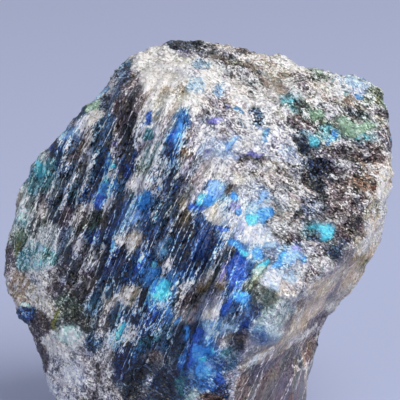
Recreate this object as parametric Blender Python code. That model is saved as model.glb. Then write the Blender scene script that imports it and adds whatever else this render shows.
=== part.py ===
"""A rough chunk of labradorite, broken from the rock and standing on its flattest break.

One natural stone, so one solid: a body bounded by a few large fracture faces, with the steps,
furrows, ledges and hollows that the cleavage of the feldspar leaves in them. It is modelled in
metres, +Z up, with the front towards -Y and the origin in the middle of the face it stands on.
Sizes below are in millimetres. Places on the body are measured from its heart.
"""

import math

import bmesh
import bpy
import numpy as np
from mathutils import Matrix, Vector, noise

MM = 0.001
STONE_NAME = "labradorite_chunk"

# Driving dimensions
HEART_HEIGHT = 38.0      # the heart of the chunk above the face it stands on
ROUNDING = 22.0          # how tightly two fracture faces meet: higher is sharper
BALL_DIVISIONS = 7       # fineness of the ball that the stone is shaped from
TRIANGLES = 9600         # facets of the finished stone

# The rim: the widest section of the stone seen from the front, clockwise from the top left
# corner. Each row is x and z, the depth y where the stone is widest there, and how far the
# wall leans in towards the front and towards the back, in degrees.
RIM = (
    (-11.2, 33.2, 2.0, 25, 30),
    (-5.0, 37.3, 4.0, 30, 30),
    (3.5, 37.8, 6.0, 30, 28),
    (10.1, 34.2, 6.0, 30, 26),
    (19.5, 31.2, 5.0, 28, 26),
    (28.6, 28.9, 4.0, 26, 24),
    (34.2, 27.2, 2.0, 24, 24),
    (35.9, 22.7, 1.0, 22, 22),
    (35.9, 16.4, 0.0, 20, 24),
    (35.6, 11.9, 0.0, 20, 26),
    (34.3, 7.4, 1.0, 22, 26),
    (34.2, 4.0, 1.0, 24, 24),
    (32.8, -3.0, 2.0, 26, 22),
    (29.6, -10.4, 3.0, 28, 22),
    (24.2, -17.6, 4.0, 26, 20),
    (22.8, -20.0, 4.0, 22, 18),
    (20.8, -27.2, 4.0, 20, 16),
    (18.2, -44.0, 4.0, 16, 14),
    (-22.6, -44.0, -5.0, 18, 12),
    (-27.5, -30.6, -6.0, 20, 14),
    (-32.0, -17.8, -5.0, 22, 17),
    (-36.7, -9.8, -4.0, 24, 20),
    (-38.3, -5.9, -3.0, 24, 22),
    (-38.2, -2.9, -2.0, 24, 24),
    (-35.2, 5.4, -1.0, 24, 26),
    (-31.4, 13.2, 0.0, 24, 28),
    (-25.9, 19.3, 0.0, 24, 28),
    (-19.9, 25.4, 1.0, 25, 28),
    (-15.7, 29.9, 1.0, 26, 28),
    (-13.4, 31.8, 2.0, 26, 28),
)

# The large fracture faces: outward direction, and distance from the heart
FACES = {
    "striated left": ((-0.55, -0.82, 0.12), 19.5),
    "crushed front": ((0.35, -0.80, 0.42), 21.6),
    "lower front": ((-0.10, -0.93, -0.35), 26.5),
    "front shoulder": ((0.05, -0.45, 0.88), 33.0),
    "back": ((0.10, 0.97, 0.20), 23.0),
    "back left": ((-0.55, 0.80, 0.10), 24.0),
    "back right": ((0.60, 0.78, -0.10), 25.0),
    "back foot": ((0.00, 0.85, -0.50), 26.0),
    "back shoulder": ((0.10, 0.70, 0.70), 28.0),
}

# The lower right: a side strip over the lip, and under it a smooth cleavage set back from it
SIDE_STRIP = ((0.72, -0.48, -0.50), 26.4)
SMOOTH_CLEAVAGE = ((0.60, -0.78, -0.15), 22.6)
LIP_ENDS = ((8.0, -19.0, -21.0), (21.9, 2.0, -20.6))
LIP_SHARPNESS = 0.02     # half-width of the lip's step, as a part of the distance to the heart

# Details of the front are placed as seen from this much above the level, across and up from
# the heart.
SEEN_FROM = math.radians(12)
FRONT_FADE = 8.0         # over what depth the front's details fade out, around the heart
COURSE_END = 5.0         # how far before its end a furrow or rib starts to run out
END_SHARE = 0.15         # what part of that run-out is left at its very end
STEP_WIDTH = 0.7         # how far a step takes to drop
STEP_END = 2.0           # how far past its ends a step dies away
HOLLOW_REACH = 1.6       # where a hollow's wall begins, in half-widths from its middle
WANDER = 0.9             # how far a furrow or edge strays from its course
WANDER_LENGTH = 4.5      # over what length it strays
PATCH_LENGTH = 11.0      # how broad the patches are in which a long step comes and goes
PATCH_SHARE = 0.6        # how much of such a step shows on average
PATCH_CONTRAST = 1.4     # how much more or less of it shows from patch to patch

# Furrows between the cleavage ribs of the left face, and crevices: half-width, depth, course
FURROWS = (
    (1.3, 2.2, ((-12.3, 21.5), (-14.9, 15.3))),
    (1.1, 1.6, ((-14.0, 19.3), (-19.5, 7.4), (-22.1, 0.9))),
    (1.3, 1.5, ((-3.0, 18.4), (-8.3, 6.4), (-13.6, -5.5))),
    (2.4, 1.6, ((4.0, 5.5), (-2.2, -10.1), (-9.2, -30.4))),
    (1.4, 1.0, ((-9.2, 9.2), (-12.9, 1.3))),
    (1.0, 1.2, ((-17.5, 24.0), (-21.2, 15.6), (-24.8, 8.3))),
    (1.2, 1.1, ((0.9, -2.9), (-4.6, -15.6), (-11.0, -28.5))),
    (1.0, 2.2, ((-9.2, 33.0), (0.0, 32.2), (7.4, 29.8), (11.4, 28.2), (15.6, 25.2))),
    (0.9, 1.6, ((15.3, 17.5), (17.9, 13.8), (20.6, 11.6))),
)

# Ribs that stand between the furrows: half-width, height, course
RIBS = (
    (0.5, 0.9, ((-18.4, 23.9), (-21.7, 15.6))),
    (0.5, 0.9, ((-16.2, 21.0), (-19.9, 12.9))),
    (0.6, 0.9, ((-11.4, 17.0), (-16.2, 6.4))),
    (0.7, 1.0, ((-1.5, 12.9), (-6.4, 5.5), (-11.0, -0.6), (-16.2, -10.1))),
    (0.5, 0.8, ((-5.0, 3.7), (-9.2, -5.5), (-12.3, -12.0))),
    (0.7, 0.8, ((4.0, 1.8), (0.4, -6.4), (-4.2, -15.6))),
)

# Hollows where grains have dropped out: centre, half-width, half-height, depth
HOLLOWS = (
    ((21.7, 11.6), 2.4, 1.3, 1.8),
    ((20.8, 8.6), 1.7, 1.1, 1.5),
    ((21.9, 1.1), 2.7, 1.6, 1.4),
    ((24.5, 11.0), 2.5, 2.0, 0.8),
    ((27.6, 19.7), 5.0, 2.5, 1.0),
    ((20.6, 16.6), 2.2, 1.6, 1.0),
)

# Knobs that stand proud: centre, half-width, half-height, height
KNOBS = (
    ((17.8, 26.7), 2.6, 2.4, 0.8),
    ((9.0, 33.5), 6.0, 2.0, 0.9),
    ((-25.0, -15.0), 6.0, 7.0, 1.0),
)

# The shell-shaped step across the crushed face: drop below its edge, how far it fades, edge
SHELL_STEPS = (
    (1.1, 7.0, ((-0.7, 12.7), (2.8, 14.4), (6.4, 14.9), (9.6, 13.8), (12.1, 12.3), (16.6, 12.7),
                (18.8, 10.9))),
)

# Steps that cross the back, where sheets broke off short: drop below the edge, fade, edge
BACK_STEPS = (
    (2.2, 16.0, ((-30.0, 2.0), (-18.0, 9.0), (-7.0, 7.0), (5.0, 13.0), (16.0, 9.0), (30.0, 14.0))),
    (1.6, 9.0, ((-20.0, -16.0), (-9.0, -12.0), (3.0, -15.0), (15.0, -10.0))),
    (1.4, 8.0, ((-8.0, 26.0), (4.0, 22.0), (14.0, 25.0), (24.0, 21.0))),
)

# The back's details begin this far behind the heart, are at full depth a fade further back, and
# stray this many times more than those of the front
BACK_START = 3.0
BACK_FADE = 10.0
BACK_WANDER = 2.5

# Furrows and hollows of the back
BACK_FURROWS = (
    (1.6, 1.8, ((-14.0, 27.0), (-20.0, 12.0), (-26.0, -2.0))),
    (1.2, 1.4, ((14.0, 6.0), (9.0, -6.0), (5.0, -20.0))),
    (1.4, 1.5, ((26.0, 20.0), (20.0, 6.0))),
    (1.1, 1.2, ((-6.0, 2.0), (-12.0, -12.0), (-15.0, -26.0))),
)
BACK_HOLLOWS = (
    ((-12.0, 17.0), 5.0, 3.0, 1.5),
    ((18.0, -4.0), 4.0, 5.0, 1.4),
    ((2.0, -24.0), 5.0, 3.5, 1.2),
)

# The cleavage runs through the whole stone in sheets, which break in steps. Each relief has its
# sizes across the sheets, along the grain and aside, its height, and the place in the noise that
# keeps it apart from the others.
SHEET_NORMAL = (0.88, -0.20, -0.38)
GRAIN_WAY = (0.42, 0.15, 0.89)
SHEET_WAVES = ((5.0, 26.0, 12.0), 0.9, 0.0)
SPLINTERS = ((1.7, 10.0, 6.0), 0.6, 40.0)
SHEET_EDGES = ((3.1, 20.0, 9.0), 1.2, 80.0)

# Lumps and crumbs without a direction: size and height
CRUMBS = ((14.0, 1.0), (5.5, 0.6), (2.4, 0.45))

# The ribs belong to the striated left face. How sharply they end around it, where, how high the
# sheets stand off it and how much higher on it, and how much lower the crumbs are on it
RIBBED_EDGE = 2.2
RIBBED_START = 0.6
SHEETS_ALL_OVER = 0.55
SHEETS_ON_LEFT = 0.55
CRUMBS_LOST_ON_LEFT = 0.6

CUT_TOLERANCE = 1e-6     # in metres: points this near the foot's plane count as on it


def labradorite():
    """Broken labradorite: dark blue-grey feldspar with pale crushed skin."""
    material = bpy.data.materials.new("labradorite")
    material.use_nodes = True
    shader = material.node_tree.nodes["Principled BSDF"]
    shader.inputs["Base Color"].default_value = (0.13, 0.16, 0.20, 1.0)
    shader.inputs["Roughness"].default_value = 0.45
    shader.inputs["Metallic"].default_value = 0.0
    return material


def clear_scene():
    """Leave nothing in the scene but what is modelled here."""
    for thing in list(bpy.data.objects):
        bpy.data.objects.remove(thing, do_unlink=True)


def unit(vector):
    """The direction of a vector, one long."""
    vector = np.asarray(vector, float)
    return vector / np.linalg.norm(vector)


def smooth(value):
    """Ease a value from 0 to 1, flat at both ends."""
    value = np.clip(value, 0, 1)
    return value * value * (3 - 2 * value)


def rim_at(bearing):
    """The rim's radius, depth and two leans at a bearing around the front's line of sight."""
    rows = np.array(RIM, float)
    angles = np.arctan2(rows[:, 1], rows[:, 0])
    order = np.argsort(angles)
    rows = rows[order]
    angles = angles[order]
    after = np.searchsorted(angles, bearing) % len(rows)
    start = rows[after - 1]
    end = rows[after]
    # where the ray at this bearing crosses the straight edge between the two corners
    edge = end[:, :2] - start[:, :2]
    ray = np.stack([np.cos(bearing), np.sin(bearing)], axis=1)
    cross = ray[:, 0] * edge[:, 1] - ray[:, 1] * edge[:, 0]
    radius = (start[:, 0] * edge[:, 1] - start[:, 1] * edge[:, 0]) / cross
    along = (ray[:, 1] * start[:, 0] - ray[:, 0] * start[:, 1]) / cross
    blend = np.clip(along, 0, 1)[:, None]
    rest = start[:, 2:] * (1 - blend) + end[:, 2:] * blend
    return radius, rest[:, 0], np.radians(rest[:, 1]), np.radians(rest[:, 2])


def bound(ways, face):
    """How strongly one fracture face bounds the stone in each direction."""
    way, distance = face
    return (np.maximum(ways @ unit(way), 0) / distance) ** ROUNDING


def broken_body(ways):
    """How far the rough body reaches from its heart in each direction."""
    bearing = np.arctan2(ways[:, 2], ways[:, 0])
    across = np.hypot(ways[:, 0], ways[:, 2])
    radius, widest, lean_front, lean_back = rim_at(bearing)
    front = (across - np.tan(lean_front) * ways[:, 1]) / (radius - np.tan(lean_front) * widest)
    back = (across + np.tan(lean_back) * ways[:, 1]) / (radius + np.tan(lean_back) * widest)
    total = (np.maximum(front, 0) ** ROUNDING + np.maximum(back, 0) ** ROUNDING) / 2
    for face in FACES.values():
        total += bound(ways, face)
    over_lip = (total + bound(ways, SIDE_STRIP)) ** (-1 / ROUNDING)
    under_lip = (total + bound(ways, SMOOTH_CLEAVAGE)) ** (-1 / ROUNDING)
    lip_side = ways @ unit(np.cross(*LIP_ENDS))
    share = smooth(0.5 + 0.5 * lip_side / LIP_SHARPNESS)
    return under_lip * (1 - share) + over_lip * share


def wander(places):
    """A small drift sideways and up, so that no furrow or edge runs quite straight."""
    drift = np.zeros((len(places), 2))
    for index, place in enumerate(places):
        spot = Vector(place) / WANDER_LENGTH
        drift[index] = noise.noise_vector(spot)[:2]
    return drift * WANDER


def patchy(places):
    """From 0 to 1 in broad patches, where a long step shows and where it has crumbled away."""
    share = np.zeros(len(places))
    for index, place in enumerate(places):
        share[index] = PATCH_SHARE + PATCH_CONTRAST * noise.noise(Vector(place) / PATCH_LENGTH)
    return np.clip(share, 0, 1)


def seen(places):
    """Places as the front shows them: across, up, and whether they face the front."""
    drift = wander(places)
    across = places[:, 0] + drift[:, 0]
    up = places[:, 2] * math.cos(SEEN_FROM) + places[:, 1] * math.sin(SEEN_FROM) + drift[:, 1]
    towards = -places[:, 1] * math.cos(SEEN_FROM) + places[:, 2] * math.sin(SEEN_FROM)
    shown = smooth(0.5 + towards / FRONT_FADE)
    return across, up, shown


def from_course(across, up, course):
    """Distance from a course of points, positive on its right; how far past its ends; run-out."""
    distance = np.full(len(across), 1e9)
    travelled = np.zeros(len(across))
    start = 0.0
    for (x0, y0), (x1, y1) in zip(course, course[1:]):
        run = np.array([x1 - x0, y1 - y0])
        length = np.hypot(*run)
        run = run / length
        along = (across - x0) * run[0] + (up - y0) * run[1]
        held = np.clip(along, 0, length)
        gap = np.hypot(across - x0 - held * run[0], up - y0 - held * run[1])
        right = (across - x0) * run[1] - (up - y0) * run[0]
        closer = gap < np.abs(distance)
        distance = np.where(closer, np.copysign(gap, right), distance)
        travelled = np.where(closer, start + along, travelled)
        start += length
    from_end = np.minimum(travelled, start - travelled)
    run_out = smooth(from_end / COURSE_END + END_SHARE)
    return distance, np.maximum(-from_end, 0), run_out


def cut_courses(across, up, courses):
    """Grooves that follow their courses and run out at both ends."""
    lift = np.zeros(len(across))
    for width, depth, course in courses:
        gap, _, run_out = from_course(across, up, course)
        lift -= depth * run_out * np.exp(-((gap / width) ** 2))
    return lift


def cut_steps(across, up, steps):
    """Steps: a sharp edge, a drop on its right hand, and a slow return to the surface."""
    lift = np.zeros(len(across))
    for drop, fade, course in steps:
        side, past, _ = from_course(across, up, course)
        inside = np.exp(-np.maximum(side, 0) / fade) * np.exp(-((past / STEP_END) ** 2))
        lift -= drop * smooth(side / STEP_WIDTH) * inside
    return lift


def cut_hollows(across, up, hollows):
    """Bowls with a flattish bottom."""
    lift = np.zeros(len(across))
    for (x, y), wide, tall, depth in hollows:
        gap = np.hypot((across - x) / wide, (up - y) / tall)
        lift -= depth * smooth(HOLLOW_REACH - gap)
    return lift


def front_details(places):
    """How far the furrows, ribs, hollows, knobs and steps move the front in or out."""
    across, up, shown = seen(places)
    lift = cut_courses(across, up, FURROWS)
    lift += cut_hollows(across, up, HOLLOWS)
    lift += cut_steps(across, up, SHELL_STEPS)
    for width, height, course in RIBS:
        gap, _, run_out = from_course(across, up, course)
        lift += height * run_out * np.exp(-((gap / width) ** 2))
    for (x, y), wide, tall, height in KNOBS:
        gap = np.hypot((across - x) / wide, (up - y) / tall)
        lift += height * np.exp(-(gap ** 2))
    return lift * shown


def back_details(places):
    """How far the steps, furrows and hollows move the back in."""
    drift = wander(places)
    across = places[:, 0] + BACK_WANDER * drift[:, 0]
    up = places[:, 2] + BACK_WANDER * drift[:, 1]
    hidden = smooth((places[:, 1] - BACK_START) / BACK_FADE)
    lift = cut_steps(across, up, BACK_STEPS) * patchy(places)
    lift += cut_courses(across, up, BACK_FURROWS)
    lift += cut_hollows(across, up, BACK_HOLLOWS)
    return lift * hidden


def drawn_out(in_grain, relief):
    """One relief of the sheets, from its noise: a value for each place, as high as it says."""
    sizes, height, apart = relief
    spots = in_grain / np.array(sizes) + np.array((0.0, 0.0, apart))
    return height * np.array([noise.noise(Vector(spot)) for spot in spots])


def sheet_steps(places):
    """The stepped edges of the cleavage sheets: long along the grain, sharp across it."""
    normal = unit(SHEET_NORMAL)
    grain = unit(GRAIN_WAY)
    in_grain = places @ np.stack([normal, grain, np.cross(normal, grain)], axis=1)
    waves = drawn_out(in_grain, SHEET_WAVES)
    splinters = drawn_out(in_grain, SPLINTERS)
    edges = np.abs(drawn_out(in_grain, SHEET_EDGES))
    return waves + splinters - edges


def crumble(places):
    """Lumps and crumbs without a direction."""
    lift = np.zeros(len(places))
    for size, height in CRUMBS:
        for index, place in enumerate(places):
            lift[index] += height * noise.noise(Vector(place) / size)
    return lift


def thin_facets(stone):
    """Keep the facets where the stone turns, and drop them where it runs flat."""
    thinner = stone.modifiers.new("Thin", "DECIMATE")
    thinner.ratio = TRIANGLES / len(stone.data.polygons)
    settled = stone.evaluated_get(bpy.context.evaluated_depsgraph_get())
    thinned = bpy.data.meshes.new_from_object(settled)
    stone.modifiers.remove(thinner)
    stone.data = thinned


def break_foot(stone):
    """Break the foot off flat, which gives the stone the face it stands on."""
    mesh = bmesh.new()
    mesh.from_mesh(stone.data)
    everything = mesh.verts[:] + mesh.edges[:] + mesh.faces[:]
    bmesh.ops.bisect_plane(mesh, geom=everything, dist=CUT_TOLERANCE, plane_co=(0, 0, 0),
                           plane_no=(0, 0, 1), clear_inner=True)
    rim = [edge for edge in mesh.edges if edge.is_boundary]
    bmesh.ops.holes_fill(mesh, edges=rim, sides=0)
    bmesh.ops.triangulate(mesh, faces=mesh.faces[:])
    bmesh.ops.recalc_face_normals(mesh, faces=mesh.faces[:])
    mesh.to_mesh(stone.data)
    mesh.free()


def centre_over_origin(stone):
    """Bring the middle of the stone's width and depth over the origin."""
    corners = np.array([vert.co[:] for vert in stone.data.vertices])
    middle = (corners.min(axis=0) + corners.max(axis=0)) / 2
    stone.data.transform(Matrix.Translation((-middle[0], -middle[1], 0)))


def make_stone():
    """Shape a ball into the stone, thin its facets and break its foot off flat."""
    clear_scene()
    mesh = bmesh.new()
    bmesh.ops.create_icosphere(mesh, subdivisions=BALL_DIVISIONS, radius=1.0)
    ways = np.array([vert.co[:] for vert in mesh.verts])
    places = ways * broken_body(ways)[:, None]
    on_left = smooth(RIBBED_EDGE * (ways @ unit(FACES["striated left"][0])) - RIBBED_START)
    lift = front_details(places) + back_details(places)
    lift += sheet_steps(places) * (SHEETS_ALL_OVER + SHEETS_ON_LEFT * on_left)
    lift += crumble(places) * (1 - CRUMBS_LOST_ON_LEFT * on_left)
    places = places + ways * lift[:, None] + np.array([0, 0, HEART_HEIGHT])
    for vert, place in zip(mesh.verts, places):
        vert.co = Vector(place) * MM
    data = bpy.data.meshes.new(STONE_NAME)
    mesh.to_mesh(data)
    mesh.free()
    stone = bpy.data.objects.new(STONE_NAME, data)
    bpy.context.scene.collection.objects.link(stone)
    thin_facets(stone)
    break_foot(stone)
    centre_over_origin(stone)
    stone.data.materials.append(labradorite())
    return stone


make_stone()
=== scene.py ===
# %% [markdown]
# # A rough labradorite chunk
#
# The real object is one lump of feldspar, broken out of the rock. Its look comes from three
# things: cleavage sheets that break in long ribs, a pale crushed skin where the blow fell, and
# the blue to green flashes of the sheets inside. The lump's large form is already a solid in
# the frame. This lesson gives it a fine surface, then paints and finishes it.

# %% Load the frame
import itertools
import math

import bpy
import numpy as np
from mathutils import Matrix, Vector
from mathutils.kdtree import KDTree


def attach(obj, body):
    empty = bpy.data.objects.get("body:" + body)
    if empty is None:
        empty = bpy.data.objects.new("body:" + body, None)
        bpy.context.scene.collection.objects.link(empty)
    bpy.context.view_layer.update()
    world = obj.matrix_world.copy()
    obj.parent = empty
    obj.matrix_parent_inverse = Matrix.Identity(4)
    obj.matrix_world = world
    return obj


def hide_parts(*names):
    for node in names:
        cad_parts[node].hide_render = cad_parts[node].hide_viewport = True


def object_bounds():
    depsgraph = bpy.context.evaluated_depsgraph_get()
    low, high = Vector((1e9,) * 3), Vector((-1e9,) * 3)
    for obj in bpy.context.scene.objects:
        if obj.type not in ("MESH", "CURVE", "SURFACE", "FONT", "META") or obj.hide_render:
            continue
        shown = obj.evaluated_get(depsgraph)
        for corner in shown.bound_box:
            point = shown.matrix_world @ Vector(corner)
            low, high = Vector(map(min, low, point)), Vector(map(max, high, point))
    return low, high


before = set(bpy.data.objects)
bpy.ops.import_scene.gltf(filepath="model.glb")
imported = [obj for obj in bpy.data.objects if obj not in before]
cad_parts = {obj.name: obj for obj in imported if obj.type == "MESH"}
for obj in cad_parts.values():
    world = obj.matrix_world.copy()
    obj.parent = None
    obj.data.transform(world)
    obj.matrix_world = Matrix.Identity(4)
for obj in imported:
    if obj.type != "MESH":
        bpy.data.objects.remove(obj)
cad_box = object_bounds()
NODE = "labradorite_chunk"
MM = 0.001
print("nodes in the frame:", len(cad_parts))
print("solid's box in millimetres:", [[round(value / MM, 1) for value in row] for row in cad_box])

# %% [markdown]
# The stone is described from its heart, a point inside it 38 mm above the table. Details of the
# front are placed in millimetres across and up from the heart, as someone sees them who looks
# slightly down at the stone. The cleavage gives the stone a grain: sheets with one normal,
# and a direction in them along which the ribs run.

# %% Where the stone's heart and grain lie
HEART = np.array([0.6, 0.5, 38.0])
LOOK_DOWN = math.radians(12)
SHEET_NORMAL = np.array([0.88, -0.20, -0.38])
GRAIN_WAY = np.array([0.42, 0.15, 0.89])

sheet_normal = SHEET_NORMAL / np.linalg.norm(SHEET_NORMAL)
grain_way = GRAIN_WAY - sheet_normal * (GRAIN_WAY @ sheet_normal)
grain_way /= np.linalg.norm(grain_way)
aside_way = np.cross(sheet_normal, grain_way)
print("grain leans", round(math.degrees(math.atan2(grain_way[2], grain_way[0]))), "degrees")

# %% [markdown]
# Blender's own noise works one point at a time. The fine surface has about a hundred thousand
# points and needs many layers, so a small noise that takes all points at once is written here:
# each corner of a lattice gets a direction from a hash, and the eight corners are blended.

# %% A noise that takes all points at once
NOISE_GAIN = 1.3


def hashed(cells, seed):
    """A whole number from 0 to 2^32 for each lattice cell, always the same for a seed."""
    mixed = cells[:, 0] * 73856093 ^ cells[:, 1] * 19349663 ^ cells[:, 2] * 83492791
    mixed = (mixed ^ seed * 668265263) & 0xFFFFFFFF
    mixed = (mixed ^ (mixed >> 15)) * 2246822519 & 0xFFFFFFFF
    mixed = (mixed ^ (mixed >> 13)) * 3266489917 & 0xFFFFFFFF
    return mixed ^ (mixed >> 16)


def noise(points, seed=0):
    """Smooth noise, roughly from -1 to 1, one value for each point."""
    cells = np.floor(points).astype(np.int64)
    inside = points - cells
    ease = inside ** 3 * (inside * (inside * 6 - 15) + 10)
    total = np.zeros(len(points))
    for corner in itertools.product((0, 1), repeat=3):
        number = hashed(cells + np.array(corner), seed)
        slope = np.stack([number & 1023, (number >> 10) & 1023, (number >> 20) & 1023], axis=1)
        slope = slope / 511.5 - 1
        weight = np.prod(np.where(corner, ease, 1 - ease), axis=1)
        total += weight * np.sum(slope * (inside - corner), axis=1)
    return total * NOISE_GAIN


def layers(points, count, seed=0, fall=0.5):
    """Several sizes of noise, each half as large and fall times as strong as the last."""
    total = np.zeros(len(points))
    strength = 1.0
    for layer in range(count):
        total += strength * noise(points * 2 ** layer + layer * 17.3, seed + layer)
        strength *= fall
    return total


def smooth(value):
    """Ease a value from 0 to 1, flat at both ends."""
    value = np.clip(value, 0, 1)
    return value * value * (3 - 2 * value)


trial = noise(np.random.default_rng(1).uniform(0, 50, (20000, 3)))
print("noise runs from", round(trial.min(), 2), "to", round(trial.max(), 2))

# %% [markdown]
# The fine stone starts as a copy of the solid, so it keeps its place and size. The copy's
# corners are merged, a voxel remesh gives it an even skin of small quads, and a light smoothing
# takes the solid's facets off without losing its ledges.

# %% Copy the solid and give it a fine, even skin
SKIN_GRAIN = 0.445 * MM
WELD = 0.001 * MM
SOFTNESS = 0.5
SOFT_ROUNDS = 6

bpy.ops.object.select_all(action="DESELECT")
stone = bpy.data.objects.new("labradorite_skin", bpy.data.objects[NODE].data.copy())
bpy.context.scene.collection.objects.link(stone)
stone.select_set(True)
bpy.context.view_layer.objects.active = stone
bpy.ops.object.mode_set(mode="EDIT")
bpy.ops.mesh.select_all(action="SELECT")
bpy.ops.mesh.remove_doubles(threshold=WELD)
bpy.ops.object.mode_set(mode="OBJECT")
even = stone.modifiers.new("Even skin", "REMESH")
even.mode = "VOXEL"
even.voxel_size = SKIN_GRAIN
bpy.ops.object.modifier_apply(modifier=even.name)
soften = stone.modifiers.new("Soften facets", "SMOOTH")
soften.factor = SOFTNESS
soften.iterations = SOFT_ROUNDS
bpy.ops.object.modifier_apply(modifier=soften.name)
print("skin has", len(stone.data.polygons), "quads")

# %% [markdown]
# The relief and the painting of this skin are worked out for all its points together, in numpy:
# by hand, with a sculpting brush, it would take days, and it couldn't be changed by one number.
# So the points are read out, in millimetres from the heart. They are described twice: in the
# grain of the sheets, and as across and up, for what is placed on the front.

# %% Read the skin's points and normals
FRONT_EDGE = 0.3


def read(mesh, what, width):
    """One of the mesh's vertex values as a table."""
    values = np.empty(len(mesh.vertices) * width, np.float32)
    mesh.vertices.foreach_get(what, values)
    return values.reshape(-1, width).astype(float)


places = read(stone.data, "co", 3) / MM - HEART
normals = read(stone.data, "normal", 3)
grain_frame = np.stack([sheet_normal, grain_way, aside_way], axis=1)
in_grain = places @ grain_frame


def as_seen(spots):
    """Across and up, as the front shows them."""
    up = spots[:, 2] * math.cos(LOOK_DOWN) + spots[:, 1] * math.sin(LOOK_DOWN)
    return np.stack([spots[:, 0], up], axis=1)


seen = as_seen(places)
towards = normals @ np.array([0, -math.cos(LOOK_DOWN), math.sin(LOOK_DOWN)])
front = smooth(towards / FRONT_EDGE + 1)
print("front share of the skin:", round(front.mean(), 2))

# %% [markdown]
# Placed patches carry what is particular to this stone: where it is pale, dark or stained, and
# where it flashes. Each row is across, up, half-length, half-width, lean in degrees and
# strength. The outline of each patch is worn by noise, so none reads as an ellipse. How hard
# its edge is depends on what the patch is for.

# %% Helpers that measure and lay patches on the front
RAGGED = 0.7
RAGGED_SIZE = 2.2
PATCH_EDGE = 1.45
EDGE_START = 0.25
ragged = np.stack([layers(places / RAGGED_SIZE, 4, seed) for seed in (11, 12)], axis=1) * RAGGED
worn = seen + ragged


def reach(across, up, long, wide, lean):
    """0 at a patch's middle, 1 at its outline, more outside."""
    turn = math.radians(lean)
    offset = worn - np.array([across, up])
    along = offset[:, 0] * math.cos(turn) + offset[:, 1] * math.sin(turn)
    beside = offset[:, 1] * math.cos(turn) - offset[:, 0] * math.sin(turn)
    return np.hypot(along / long, beside / wide)


def lay(rows, hard):
    """How much of each point the patches cover: 0 is not at all, 1 is wholly."""
    cover = np.zeros(len(places))
    for *shape, strength in rows:
        edge = smooth((PATCH_EDGE - reach(*shape)) * hard / 2 + EDGE_START)
        cover = np.maximum(cover, strength * edge)
    return cover * front


def screen(code):
    """A hex colour as three numbers, as a screen shows them."""
    return np.array([int(code[place:place + 2], 16) / 255 for place in (1, 3, 5)])


print("patches are worn by up to", round(np.abs(ragged).max(), 1), "millimetres")

# %% [markdown]
# The body colour changes every few millimetres: chalky crush on the top, slate and navy along
# the left, brown mica on the right, sand on the underside. Each tone has its patches, and every
# point takes the average of the tones near it.

# %% The stone's tones
TONES = {
    "cream": "#ece8de",
    "chalk": "#d9d5cf",
    "bone": "#c4bcae",
    "milk": "#c9d6f2",
    "lilac": "#adaebc",
    "ash": "#98989f",
    "taupe": "#7e777b",
    "umber": "#534b53",
    "brown": "#685f62",
    "coal": "#203048",
    "forest": "#414c48",
    "navy": "#152f5e",
    "steel": "#7088a8",
    "slate": "#34577e",
    "denim": "#315692",
    "azure": "#3478c8",
    "sky": "#86b6e2",
    "sea": "#629ba6",
    "sage": "#7b8d7e",
    "mist": "#b0c6c8",
    "sand": "#b3a494",
    "dune": "#d6c5ae",
    "tan": "#cdbaa0",
    "ochre": "#8f7d52",
    "rust": "#6e5547",
    "mauve": "#696266",
    "clay": "#87776d",
}
print("tones:", len(TONES))

# %% [markdown]
# A tone's patches are listed together. Most are 2 to 5 mm long, as the chips of the stone are.

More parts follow.
